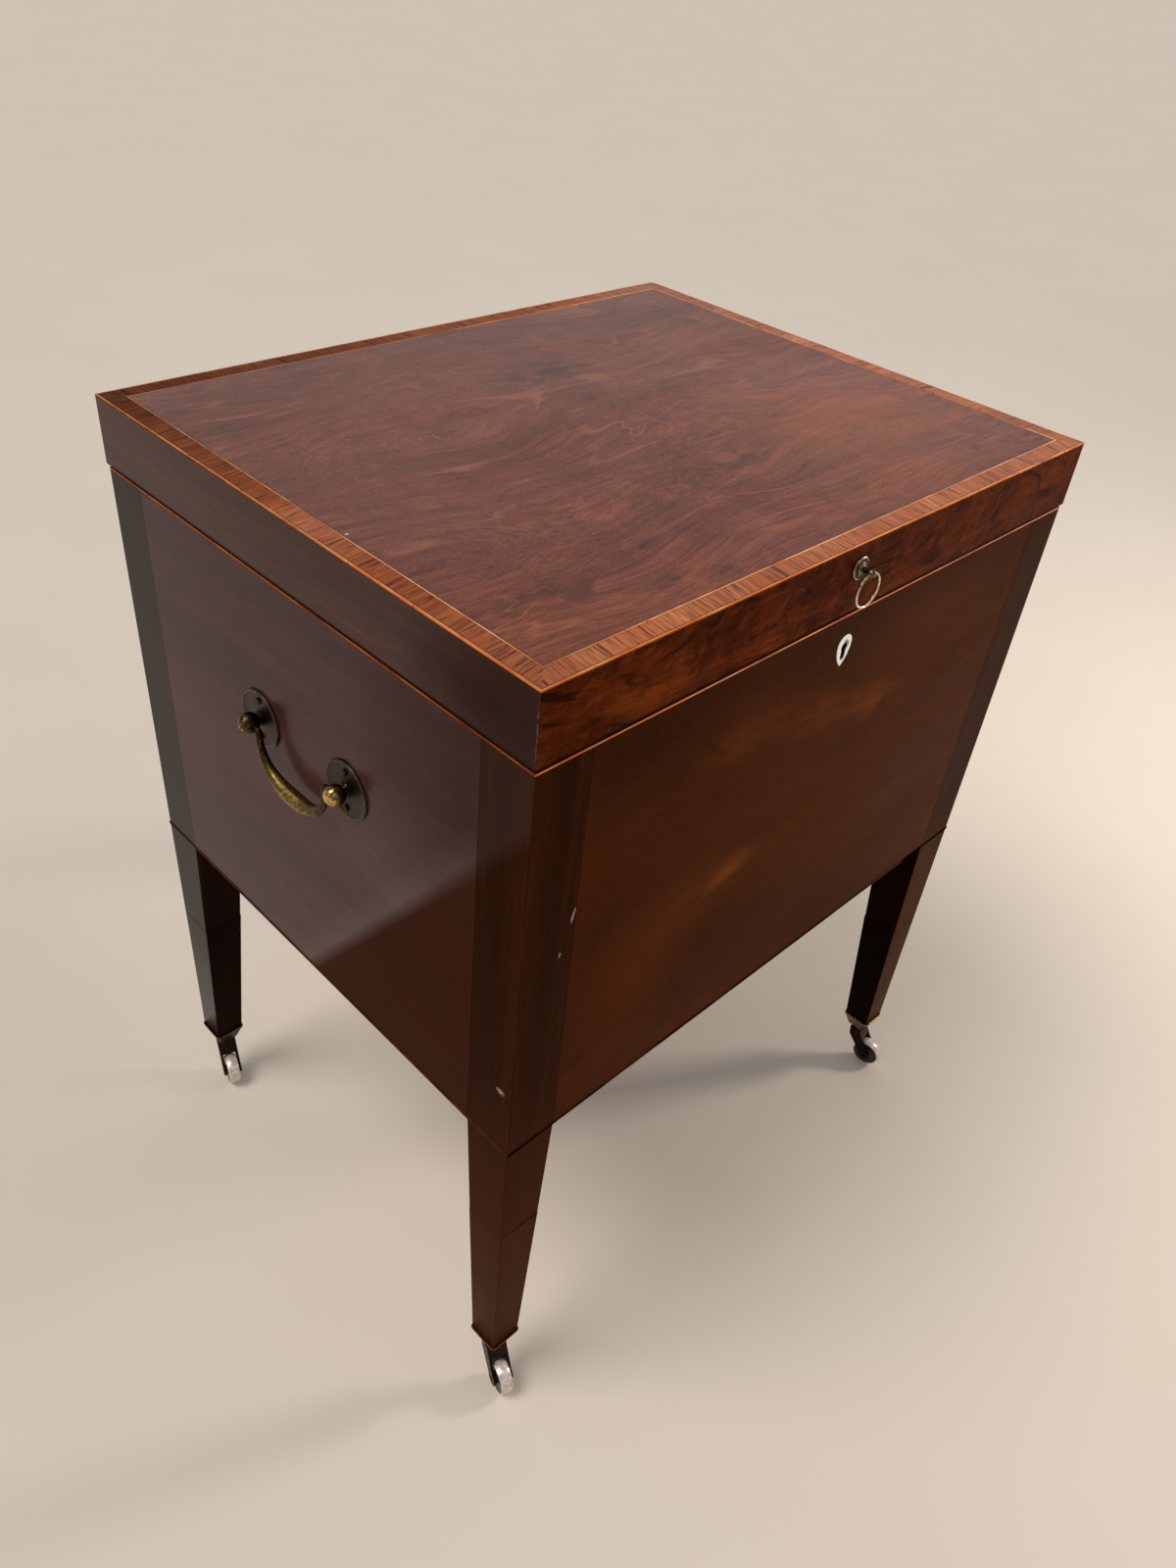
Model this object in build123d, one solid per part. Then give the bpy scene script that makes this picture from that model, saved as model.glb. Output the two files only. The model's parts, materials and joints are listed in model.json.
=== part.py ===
from build123d import *
import os
from math import cos, radians, sin, sqrt

# Late eighteenth-century mahogany cellarette: a lidded case on four castored legs.
# Millimetres. The origin is on the floor under the middle, X to the right, Y to the back, Z up.

# Overall sizes
lid_width = 510.0
lid_depth = 414.0
overall_height = 655.0
lid_height = 45.8
case_bottom_z = 303.0

# Fits shared by many pieces
lid_overhang = 1.0       # the lid stands proud of the case on every side
lid_gap = 2.2            # dark line between the case and the shut lid
moving_gap = 0.3         # least air between pieces that move past each other
running_fit = 0.06       # radial air of a pin in its bore
loose_fit = 0.1          # radial air of a screw or stem that does not turn

# Case
panel_t = 16.0
post_width = 39.0
bottom_board_t = 12.0
bottom_board_rise = 3.0  # the board lies this far above the panels' lower edges
top_string = 1.5
bead_height = 3.0
bead_depth = 1.0         # let into the wood
bead_proud = 0.4

# Legs: widths of the square section and heights of the splices
leg_end_width = 24.4
cup_rim_z = 60.5
tip_step = 0.4           # each spliced tip is this much wider than the leg above it
splice_heights = {
    "front_left": 209.0,
    "front_right": 193.0,
    "back_left": 205.0,
    "back_right": 198.0,
}

# Bottle divisions
divider_t = 8.0
divider_headroom = 89.0  # from the dividers' tops to the case's rim
halving_fit = 0.2        # air on each side of a divider in its slot
rows = 3
columns = 4

# Lid
lid_board_t = 10.0
veneer_t = 1.2
outer_string = 1.3
crossband = 12.5
inner_string = 1.0
worn_corner_r = 6.0      # the lid's back right corner is knocked round
lid_open_angle = 95.0

# Hinges
hinge_from_post = 35.0   # from a hinge's outer end to the post
hinge_length = 60.0
hinge_leaf_t = 1.6
hinge_leaf_reach = 13.0  # from the case's back face towards the front
knuckle_r = 3.2
knuckle_count = 5
hinge_pin_r = 1.3
hinge_pin_head = 0.8
stop_reach = 10.0        # radius of the stop flanges from the pin
stop_t = 1.8
screw_head_r = 2.8
screw_r = 1.4
screw_length = 10.0
hinge_screw_spacing = 20.0

# Lock, seen from the front; its middle is on the case's middle
lock_width = 64.0
lock_height = 42.0
lock_plate_t = 1.6
selvedge_t = 1.8
selvedge_depth = 12.0
lock_cap_width = 44.0
lock_cap_t = 1.2
lock_cavity_depth = 8.0
lock_cap_low = 3.0       # the cap's foot above the plate's lower edge
lock_screw_inset = 5.0
keyhole_below_rim = 24.0
keyhole_r = 2.9
keyhole_slot = 4.0
keyhole_drop = 8.4
key_pin_r = 1.1
key_pin_length = 6.6
bolt_height = 7.0
bolt_nose_height = 4.4
bolt_nose_t = 4.0
bolt_travel = 6.0
bolt_length = 22.0
bolt_nose_length = 5.5
bolt_talon = 7.0         # notch in which the key's bit turns
bolt_talon_height = 2.4
bolt_ledge_height = 3.0
staple_x = 9.0           # left side of the staple
staple_t = 3.0
staple_width = 7.2
staple_wall = 1.3
staple_foot = 1.5
link_plate_width = 48.0
link_plate_t = 1.6
link_plate_depth = 10.4
link_screw_x = 18.5

# Bone escutcheon
escutcheon_rise = 8.7    # from the keyhole's middle to the shield's top
escutcheon_height = 22.4
escutcheon_width = 13.9
escutcheon_t = 1.6
escutcheon_proud = 0.2

# Side handles
handle_below_rim = 107.0
handle_spacing = 92.0    # between the two ball posts
handle_forward = 4.0     # each handle sits this far in front of the side's middle
rose_r = 20.0
rose_t = 2.0
rose_edge = 0.8
rose_pin_offset = 13.5
rose_pin_r = 1.5
rose_pin_head_r = 2.4
rose_pin_head_t = 0.8
rose_pin_length = 9.0
ball_r = 7.0
post_shank_r = 3.0
nut_width = 12.0
nut_t = 4.0
shank_end = 2.0          # thread that shows past the nut
bail_pin_r = 1.75
bail_pin_reach = 5.0     # how far the pin enters the ball
bail_eye_r = 2.9
bail_end_r = 2.4
bail_grip_r = 5.3
bail_drop = 32.0
bail_squareness = 2.4    # 2 is an ellipse, more is squarer
bail_sections = 16

# Ring pull on the lid
pull_x = -6.5
pull_below_top = 16.0
pull_rose_r = 7.5
pull_rose_t = 2.6
pull_ball_r = 2.7
pull_offset = 8.4
pull_neck_r = 1.5
pull_shank_r = 1.5
pull_shank_length = 10.0
ring_r = 10.7            # to the middle of the wire
ring_wire_r = 0.8
ring_bore_r = 1.2

# Castors
cup_height = 16.0
cup_lip = 1.3            # the lip stands this far out from the leg
cup_lip_height = 1.8
cup_wall = 1.2
cup_foot_width = 16.5
stem_r = 3.0
stem_head_r = 4.2
stem_head_t = 1.4
castor_boss_r = 6.5
castor_boss_t = 3.0
horn_width = 16.0
horn_inset = 1.0         # the horn is this much slimmer than its boss and its eye
horn_crown_gap = 6.0     # the neck's solid part ends this far behind the axle
castor_trail = 16.0
wheel_r = 14.0
wheel_width = 11.0
wheel_crown = 1.6        # the tread is lower by this at its edges
wheel_dish = 1.2         # hollow in each side face
wheel_hub_r = 4.5
wheel_side_gap = 0.4
wheel_top_gap = 1.0
axle_r = 2.0
axle_eye_r = 5.5
castor_turn = {          # degrees from straight forward, positive to the right
    "front_left": -17.0,
    "front_right": 10.0,
    "back_left": -18.0,
    "back_right": 9.0,
}

# Sizes and places that follow from the values above
case_width = lid_width - 2 * lid_overhang
case_depth = lid_depth - 2 * lid_overhang
case_top_z = overall_height - lid_height - lid_gap
lid_bottom_z = case_top_z + lid_gap
veneer_z = overall_height - veneer_t
inner_width = case_width - 2 * panel_t
inner_depth = case_depth - 2 * panel_t
floor_of_case_z = case_bottom_z + bottom_board_rise + bottom_board_t
divider_height = case_top_z - divider_headroom - floor_of_case_z
lid_rail_t = panel_t + lid_overhang
corners = {
    "front_left": (-1, -1),
    "front_right": (1, -1),
    "back_left": (-1, 1),
    "back_right": (1, 1),
}
cell_width = (inner_width - (columns - 1) * divider_t) / columns
cell_depth = (inner_depth - (rows - 1) * divider_t) / rows
hinge_x = case_width / 2 - post_width - hinge_from_post - hinge_length / 2
hinge_y = lid_depth / 2 + knuckle_r + moving_gap
hinge_z = case_top_z + lid_gap / 2
hinge_screw_y = case_depth / 2 - hinge_leaf_reach / 2 - lid_overhang
keyhole_z = case_top_z - keyhole_below_rim
escutcheon_top = keyhole_z + escutcheon_rise
handle_z = case_top_z - handle_below_rim
ball_offset = rose_t + moving_gap + ball_r   # from the case to the ball's middle
pull_z = overall_height - pull_below_top
lock_face_y = -inner_depth / 2
lock_works_y = lock_face_y - lock_plate_t
lock_middle_y = lock_works_y - lock_cavity_depth / 2
selvedge_z = case_top_z - selvedge_t
lock_foot_z = case_top_z - lock_height
bolt_z = selvedge_z - moving_gap - bolt_height
bolt_nose_z = bolt_z + (bolt_height - bolt_nose_height) / 2
bolt_left_x = -lock_cap_width / 2 + lock_cap_t + moving_gap
cup_foot_z = cup_rim_z - cup_height
castor_top_z = cup_foot_z - moving_gap


def block(x0, x1, y0, y1, z0, z1):
    """A square-cornered block between two opposite corners."""
    place = Pos((x0 + x1) / 2, (y0 + y1) / 2, (z0 + z1) / 2)
    return place * Box(x1 - x0, y1 - y0, z1 - z0)


def rod(radius, start, direction, length):
    """A round bar from a point along a direction."""
    low_end = (Align.CENTER, Align.CENTER, Align.MIN)
    return Plane(origin=start, z_dir=direction) * Cylinder(radius, length, align=low_end)


def frustum(centre, z_low, side_low, z_high, side_high):
    """A square tapered block on an upright axis."""
    x, y = centre
    low = Pos(x, y, z_low) * Rectangle(side_low, side_low)
    high = Pos(x, y, z_high) * Rectangle(side_high, side_high)
    return loft([low, high], ruled=True)


def mitred_frame(width, depth, strip, z0, z1):
    """Four strips round a rectangle, mitred: front, right, back, left."""
    w, d = width / 2, depth / 2
    outer = [(-w, -d), (w, -d), (w, d), (-w, d)]
    inner = [(x - strip * x / abs(x), y - strip * y / abs(y)) for x, y in outer]
    strips = []
    for i in range(4):
        j = (i + 1) % 4
        outline = Polygon(outer[i], outer[j], inner[j], inner[i], align=None)
        strips.append(Pos(0, 0, z0) * extrude(outline, z1 - z0))
    return strips


def ring_cut(width, depth, bite, z0, z1):
    """A square ring that bites into the outside of a rectangle, to cut a rebate."""
    w, d = width / 2, depth / 2
    outside = block(-w - 5, w + 5, -d - 5, d + 5, z0, z1)
    inside = block(-w + bite, w - bite, -d + bite, d - bite, z0, z1)
    return outside - inside


def save(name, pieces):
    """Write one named sub-part, made of one solid or of several separate ones."""
    solids = [solid for piece in pieces for solid in piece.solids()]
    export_step(Compound(children=solids), f"parts/{name}.step")


def screw(head, direction):
    """A countersunk wood screw: its head's flat face is at the point, its shank along the direction."""
    length = screw_head_r - screw_r
    cone = Cone(screw_head_r, screw_r, length, align=(Align.CENTER, Align.CENTER, Align.MIN))
    return Plane(origin=head, z_dir=direction) * cone + rod(screw_r, head, direction, screw_length)


def screw_hole(head, direction):
    """The hole of a countersunk screw, wider than the screw by the loose fit."""
    length = screw_head_r - screw_r
    top = screw_head_r + loose_fit
    cone = Cone(top, screw_r + loose_fit, length, align=(Align.CENTER, Align.CENTER, Align.MIN))
    shank = rod(screw_r + loose_fit, head, direction, screw_length + loose_fit)
    return Plane(origin=head, z_dir=direction) * cone + shank


# Case: posts, panels and bottom

top_rebate = ring_cut(case_width, case_depth, top_string, case_top_z - top_string, case_top_z + 1)
bead_rebate = ring_cut(case_width, case_depth, bead_depth, case_bottom_z, case_bottom_z + bead_height)


def leg_width(z):
    """The leg's width, which falls evenly from the case's foot to the castor cup's rim."""
    share = (z - cup_rim_z) / (case_bottom_z - cup_rim_z)
    return leg_end_width + (post_width - leg_end_width) * share


def leg_section(corner, z, width):
    """The leg's square section at a height, flush with the case's two outer faces."""
    sx, sy = corners[corner]
    place = Pos(sx * (case_width - width) / 2, sy * (case_depth - width) / 2, z)
    return place * Rectangle(width, width)


def corner_post(corner):
    """A corner post, which runs on below the case as the upper part of the leg."""
    sx, sy = corners[corner]
    splice = splice_heights[corner]
    square = extrude(leg_section(corner, case_bottom_z, post_width), case_top_z - case_bottom_z)
    low = leg_section(corner, splice, leg_width(splice))
    high = leg_section(corner, case_bottom_z, post_width)
    return square + loft([low, high], ruled=True) - top_rebate - bead_rebate


def cup_centre(corner):
    """The middle of the leg's end, where the castor swivels."""
    sx, sy = corners[corner]
    return sx * (case_width - leg_end_width) / 2, sy * (case_depth - leg_end_width) / 2


def leg_tip(corner):
    """The spliced end of a leg. Below the cup's rim it narrows to fill the cup."""
    splice = splice_heights[corner]
    low = leg_section(corner, cup_rim_z, leg_end_width)
    high = leg_section(corner, splice, leg_width(splice) + tip_step)
    x, y = cup_centre(corner)
    foot_z = cup_foot_z + cup_wall
    foot_width = cup_foot_width - 2 * cup_wall
    end = frustum((x, y), foot_z, foot_width, cup_rim_z, leg_end_width)
    pocket_r = stem_head_r + 2 * moving_gap
    pocket_h = stem_head_t + 3 * moving_gap
    pocket = rod(pocket_r, (x, y, foot_z), (0, 0, 1), pocket_h)
    return loft([low, high], ruled=True) + end - pocket


def handle_y(sy):
    """Where a handle's front or back post stands along a side."""
    return sy * handle_spacing / 2 - handle_forward


def panel_holes(sx):
    """The holes in a side panel for the handle's posts and rose pins."""
    face = sx * case_width / 2
    inward = (-sx, 0, 0)
    holes = []
    for sy in (-1, 1):
        y = handle_y(sy)
        holes.append(rod(post_shank_r + loose_fit, (face, y, handle_z), inward, panel_t))
        for sz in (-1, 1):
            start = (face, y, handle_z + sz * rose_pin_offset)
            holes.append(rod(rose_pin_r + loose_fit, start, inward, rose_pin_length))
    return holes


def side_panel(sx):
    """Left or right panel, set flush between two posts."""
    outer = sx * case_width / 2
    inner = sx * inner_width / 2
    half = case_depth / 2 - post_width
    x0, x1 = min(outer, inner), max(outer, inner)
    panel = block(x0, x1, -half, half, case_bottom_z, case_top_z)
    panel = panel - top_rebate - bead_rebate
    for hole in panel_holes(sx):
        panel -= hole
    return panel


def keyhole(y0, y1, grow):
    """The keyhole's round head and slot, between two depths."""
    head = rod(keyhole_r + grow, (0, y0, keyhole_z), (0, 1, 0), y1 - y0)
    half = keyhole_slot / 2 + grow
    slot = block(-half, half, y0, y1, keyhole_z - keyhole_drop - grow, keyhole_z)
    return head + slot


def escutcheon_outline():
    """The shield: a round head, and two sides that leave it smoothly and meet in a point."""
    r = escutcheon_width / 2
    head_z = escutcheon_top - r
    tail = escutcheon_height - r
    side_r = (r ** 2 + tail ** 2) / (2 * r)
    half_way = r - side_r + sqrt(side_r ** 2 - tail ** 2 / 4)
    point = (0, head_z - tail)
    head = ThreePointArc((-r, head_z), (0, escutcheon_top), (r, head_z))
    right = ThreePointArc((r, head_z), (half_way, head_z - tail / 2), point)
    left = ThreePointArc(point, (-half_way, head_z - tail / 2), (-r, head_z))
    return make_face([head, right, left])


def escutcheon_plate():
    """The shield as a plate let into the front panel."""
    front = -case_depth / 2 - escutcheon_proud
    plate = extrude(Plane.XZ * escutcheon_outline(), escutcheon_t, dir=(0, 1, 0))
    return Pos(0, front, 0) * plate


def lock_screw_heads():
    """Where the four lock screws sit in the plate's inner face."""
    x = lock_width / 2 - lock_screw_inset
    low = lock_foot_z + lock_screw_inset
    high = selvedge_z - lock_screw_inset
    return [(sx * x, lock_face_y, z) for sx in (-1, 1) for z in (low, high)]


def front_panel():
    """Front panel with the lock's mortise, its keyhole and the escutcheon's bed."""
    half = case_width / 2 - post_width
    front = -case_depth / 2
    panel = block(-half, half, front, front + panel_t, case_bottom_z, case_top_z)
    panel = panel - top_rebate - bead_rebate - escutcheon_plate()
    w = lock_width / 2
    panel -= block(-w, w, lock_works_y, lock_face_y, lock_foot_z, case_top_z)
    panel -= block(-w, w, lock_face_y - selvedge_depth, lock_face_y, selvedge_z, case_top_z)
    cap_front = lock_works_y - lock_cavity_depth - lock_cap_t
    c = lock_cap_width / 2
    panel -= block(-c, c, cap_front, lock_face_y, lock_foot_z + lock_cap_low, selvedge_z)
    panel -= keyhole(front, cap_front, 0.4)
    for head in lock_screw_heads():
        panel -= screw_hole(head, (0, -1, 0))
    return panel


def hinge_screw_xs():
    """The X places of all hinge screws: three in each of two hinges."""
    return [sx * hinge_x + n * hinge_screw_spacing for sx in (-1, 1) for n in (-1, 0, 1)]


def leaf_z(side):
    """Lowest and highest Z of a hinge leaf: side -1 is the case's, 1 the lid's."""
    near = hinge_z + side * moving_gap / 2
    far = near + side * hinge_leaf_t
    return min(near, far), max(near, far)


def leaf_bed(side):
    """The beds of both leaves in the wood."""
    z0, z1 = leaf_z(side)
    front = case_depth / 2 - hinge_leaf_reach
    half = hinge_length / 2
    beds = [block(x - half, x + half, front, lid_depth / 2, z0, z1) for x in (-hinge_x, hinge_x)]
    return beds[0] + beds[1]


def hinge_screw_heads(side):
    """The heads of a leaf's screws lie flush with its face."""
    z = hinge_z + side * moving_gap / 2
    return [(x, hinge_screw_y, z) for x in hinge_screw_xs()]


def back_panel():
    """Back panel with the beds of the two case leaves."""
    half = case_width / 2 - post_width
    back = case_depth / 2
    panel = block(-half, half, back - panel_t, back, case_bottom_z, case_top_z)
    panel = panel - top_rebate - bead_rebate - leaf_bed(-1)
    for head in hinge_screw_heads(-1):
        panel -= screw_hole(head, (0, 0, -1))
    return panel


def bottom_board():
    """Board between the panels, notched round the posts."""
    w, d = inner_width / 2, inner_depth / 2
    board = block(-w, w, -d, d, floor_of_case_z - bottom_board_t, floor_of_case_z)
    for corner in corners:
        board -= extrude(leg_section(corner, case_bottom_z, post_width), case_top_z - case_bottom_z)
    return board


def top_strings():
    """Boxwood string in the rebate round the case's top edge, cut away at the hinges."""
    strips = mitred_frame(case_width, case_depth, top_string, case_top_z - top_string, case_top_z)
    return [strip - leaf_bed(-1) for strip in strips]


def bead_strips():
    """Thin bead in the rebate round the case's lower edge and across the legs."""
    width = case_width + 2 * bead_proud
    depth = case_depth + 2 * bead_proud
    strip = bead_depth + bead_proud
    return mitred_frame(width, depth, strip, case_bottom_z, case_bottom_z + bead_height)


def divider_xs():
    """The middles of the cross dividers."""
    step = cell_width + divider_t
    return [(n - (columns - 2) / 2) * step for n in range(columns - 1)]


def divider_ys():
    """The middles of the long dividers."""
    step = cell_depth + divider_t
    return [(n - (rows - 2) / 2) * step for n in range(rows - 1)]


def long_divider(y):
    """A divider from side to side, slotted from below at each crossing."""
    half = inner_width / 2
    low = floor_of_case_z
    board = block(-half, half, y - divider_t / 2, y + divider_t / 2, low, low + divider_height)
    slot = divider_t / 2 + halving_fit
    for x in divider_xs():
        board -= block(x - slot, x + slot, y - slot, y + slot, low, low + divider_height / 2)
    return board


def cross_divider(x):
    """A divider from front to back, slotted from above at each crossing."""
    half = inner_depth / 2
    low = floor_of_case_z
    top = low + divider_height
    board = block(x - divider_t / 2, x + divider_t / 2, -half, half, low, top)
    slot = divider_t / 2 + halving_fit
    for y in divider_ys():
        board -= block(x - slot, x + slot, y - slot, y + slot, low + divider_height / 2, top)
    return board


# Lock in the front panel and link plate on the lid

def lock_plate():
    """Inner plate with the selvedge, the staple's slot and two ledges that carry the bolt."""
    w = lock_width / 2
    plate = block(-w, w, lock_works_y, lock_face_y, lock_foot_z, case_top_z)
    plate += block(-w, w, lock_face_y - selvedge_depth, lock_face_y, selvedge_z, case_top_z)
    deep = lock_works_y - lock_cavity_depth + moving_gap
    ledge_top = bolt_z - moving_gap
    ledge_low = ledge_top - bolt_ledge_height
    left = bolt_left_x + moving_gap
    for x in (left, left + bolt_length - bolt_talon):
        plate += block(x, x + bolt_talon, deep, lock_works_y, ledge_low, ledge_top)
    gap = 2 * moving_gap
    slot_x0, slot_x1 = staple_x - gap, staple_x + staple_t + gap
    slot_y0, slot_y1 = lock_works_y - lock_cavity_depth, lock_works_y
    plate -= block(slot_x0, slot_x1, slot_y0, slot_y1, selvedge_z, case_top_z)
    for head in lock_screw_heads():
        plate -= screw_hole(head, (0, -1, 0))
    return plate


def lock_cap():
    """Box that covers the works on the wood's side, open to the plate and the selvedge."""
    c = lock_cap_width / 2
    t = lock_cap_t
    low = lock_foot_z + lock_cap_low
    front = lock_works_y - lock_cavity_depth - t
    cap = block(-c, c, front, lock_works_y, low, selvedge_z)
    cap -= block(-c + t, c - t, front + t, lock_works_y, low + t, selvedge_z)
    return cap - keyhole(front, front + t, 0)


def lock_key_pin():
    """Pin on which a pipe key turns."""
    return rod(key_pin_r, (0, lock_works_y, keyhole_z), (0, -1, 0), key_pin_length)


def lock_bolt():
    """Bolt, drawn back: its body fills the cavity's depth, its nose enters the staple."""
    half = lock_cavity_depth / 2 - moving_gap
    right = bolt_left_x + bolt_length
    y0, y1 = lock_middle_y - half, lock_middle_y + half
    bolt = block(bolt_left_x, right, y0, y1, bolt_z, bolt_z + bolt_height)
    nose_y0, nose_y1 = lock_middle_y - bolt_nose_t / 2, lock_middle_y + bolt_nose_t / 2
    nose_z1 = bolt_nose_z + bolt_nose_height
    bolt += block(right, right + bolt_nose_length, nose_y0, nose_y1, bolt_nose_z, nose_z1)
    middle = bolt_left_x + bolt_length / 2
    x0, x1 = middle - bolt_talon / 2, middle + bolt_talon / 2
    return bolt - block(x0, x1, y0, y1, bolt_z, bolt_z + bolt_talon_height)


def link_plate():
    """Plate under the lid's front rail, with the staple that the bolt's nose enters."""
    w = link_plate_width / 2
    y0 = lock_face_y - link_plate_depth
    plate = block(-w, w, y0, lock_face_y, lid_bottom_z, lid_bottom_z + link_plate_t)
    x0, x1 = staple_x, staple_x + staple_t
    y0, y1 = lock_middle_y - staple_width / 2, lock_middle_y + staple_width / 2
    eye_low = bolt_nose_z - moving_gap
    eye_high = bolt_nose_z + bolt_nose_height + moving_gap
    plate += block(x0, x1, y0, y1, eye_low - staple_foot, lid_bottom_z)
    eye_y0, eye_y1 = y0 + staple_wall, y1 - staple_wall
    plate -= block(x0, x1, eye_y0, eye_y1, eye_low, eye_high)
    for head in link_screw_heads():
        plate -= screw_hole(head, (0, 0, 1))
    return plate


def link_screw_heads():
    """The two screws of the link plate."""
    y = lock_face_y - link_plate_depth / 2
    return [(sx * link_screw_x, y, lid_bottom_z) for sx in (-1, 1)]


# Hinges: five knuckles a hinge, three on the case's leaf and two on the lid's

def knuckle_spans(x, side):
    """The X spans of a leaf's own knuckles."""
    step = hinge_length / knuckle_count
    first = 0 if side < 0 else 1
    left = x - hinge_length / 2
    air = moving_gap / 2
    numbers = range(first, knuckle_count, 2)
    return [(left + n * step + air, left + (n + 1) * step - air) for n in numbers]


def stop_bar(x, x0, x1, r0, r1, side):
    """A bar of the stop flange, between two radii, behind the pin."""
    near = side * moving_gap / 2
    far = near + side * stop_t
    bar = block(x0 - x, x1 - x, r0, r1, min(near, far), max(near, far))
    turn = side * lid_open_angle / 2
    return Pos(x, hinge_y, hinge_z) * Rot(turn, 0, 0) * bar


def hinge_leaf(x, side):
    """One leaf with its knuckles and its stop flange: side -1 for the case, 1 for the lid."""
    z0, z1 = leaf_z(side)
    half = hinge_length / 2
    front = case_depth / 2 - hinge_leaf_reach
    edge = hinge_y - knuckle_r - moving_gap
    leaf = block(x - half, x + half, front, edge, z0, z1)
    flange_r = knuckle_r + moving_gap
    leaf += stop_bar(x, x - half, x + half, flange_r, stop_reach, side)
    for x0, x1 in knuckle_spans(x, side):
        leaf += rod(knuckle_r, (x0, hinge_y, hinge_z), (1, 0, 0), x1 - x0)
        leaf += block(x0, x1, edge, hinge_y - hinge_pin_r, z0, z1)
        leaf += stop_bar(x, x0, x1, hinge_pin_r, flange_r, side)
    leaf -= rod(hinge_pin_r + running_fit, (x - half, hinge_y, hinge_z), (1, 0, 0), hinge_length)
    for head in hinge_screw_heads(side):
        leaf -= screw_hole(head, (0, 0, side))
    return leaf


def hinge_pin(x):
    """Pin through the five knuckles, with a low head at each end."""
    start = x - hinge_length / 2
    pin = rod(hinge_pin_r, (start, hinge_y, hinge_z), (1, 0, 0), hinge_length)
    for end in (start - hinge_pin_head, start + hinge_length):
        pin += rod(hinge_pin_r + 2 * moving_gap, (end, hinge_y, hinge_z), (1, 0, 0), hinge_pin_head)
    return pin


# Lid

def lid_envelope():
    """The lid's outline, square but for its worn back right corner."""
    w, d = lid_width / 2, lid_depth / 2
    body = block(-w, w, -d, d, lid_bottom_z, overall_height)
    worn = body.edges().filter_by(Axis.Z).sort_by(lambda edge: edge.center().X + edge.center().Y)[-1]
    return fillet(worn, worn_corner_r)


def lid_rails():
    """Deep mitred rails: front, right, back, left."""
    envelope = lid_envelope()
    frame = mitred_frame(lid_width, lid_depth, lid_rail_t, lid_bottom_z, veneer_z)
    front, right, back, left = [rail & envelope for rail in frame]
    back -= leaf_bed(1)
    for head in hinge_screw_heads(1):
        back -= screw_hole(head, (0, 0, 1))
    w = link_plate_width / 2
    y0 = lock_face_y - link_plate_depth
    front -= block(-w, w, y0, lock_face_y, lid_bottom_z, lid_bottom_z + link_plate_t)
    for head in link_screw_heads():
        front -= screw_hole(head, (0, 0, 1))
    start = (pull_x, -lid_depth / 2, pull_z)
    front -= rod(pull_shank_r + loose_fit, start, (0, 1, 0), pull_shank_length + loose_fit)
    return front, right, back, left


def lid_board():
    """Top board between the rails, under the veneers."""
    w, d = lid_width / 2 - lid_rail_t, lid_depth / 2 - lid_rail_t
    return block(-w, w, -d, d, veneer_z - lid_board_t, veneer_z)


def veneer_frame(margin, strip):
    """Four mitred strips of the top's veneer, a margin in from the lid's edge."""
    envelope = lid_envelope()
    width, depth = lid_width - 2 * margin, lid_depth - 2 * margin
    return [piece & envelope for piece in mitred_frame(width, depth, strip, veneer_z, overall_height)]


def field_veneer():
    """The dark middle of the top."""
    margin = outer_string + crossband + inner_string
    w, d = lid_width / 2 - margin, lid_depth / 2 - margin
    return block(-w, w, -d, d, veneer_z, overall_height)


# Ring pull

def pull_post():
    """Turned rose, neck and bored ball in one, with a screw shank into the lid."""
    face = -lid_depth / 2
    outline = Polyline(
        (0, 0), (pull_rose_r, 0), (pull_rose_r, 0.8), (pull_rose_r - 1.2, 1.5),
        (pull_rose_r - 3.2, 1.9), (pull_neck_r + 1, pull_rose_t), (pull_neck_r, pull_rose_t + 0.9),
        (pull_neck_r, pull_offset), (0, pull_offset), (0, 0),
    )
    turned = revolve(make_face(Plane.XZ * outline), Axis.Z)
    place = Plane(origin=(pull_x, face, pull_z), z_dir=(0, -1, 0))
    post = place * turned
    post += Pos(pull_x, face - pull_offset, pull_z) * Sphere(pull_ball_r)
    post += rod(pull_shank_r, (pull_x, face, pull_z), (0, 1, 0), pull_shank_length)
    start = (pull_x - 2 * pull_ball_r, face - pull_offset, pull_z)
    return post - rod(ring_bore_r, start, (1, 0, 0), 4 * pull_ball_r)


def pull_ring():
    """Ring that hangs through the ball, in a plane along the lid's front."""
    place = Pos(pull_x, -lid_depth / 2 - pull_offset, pull_z - ring_r)
    return place * Rot(90, 0, 0) * Torus(ring_r, ring_wire_r)


# Side handles: sx is -1 on the left and 1 on the right

def handle_rose(sx, sy):
    """Flat round plate with a softened edge, bored for the post and two pins."""
    face = sx * case_width / 2
    y = handle_y(sy)
    disc = rod(rose_r, (face, y, handle_z), (sx, 0, 0), rose_t)
    rim = disc.edges().filter_by(GeomType.CIRCLE).sort_by(lambda edge: sx * edge.center().X)[-1]
    rose = chamfer(rim, rose_edge)
    rose -= rod(post_shank_r + loose_fit, (face, y, handle_z), (sx, 0, 0), rose_t)
    for sz in (-1, 1):
        start = (face, y, handle_z + sz * rose_pin_offset)
        rose -= rod(rose_pin_r + loose_fit, start, (sx, 0, 0), rose_t)
    return rose


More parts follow.
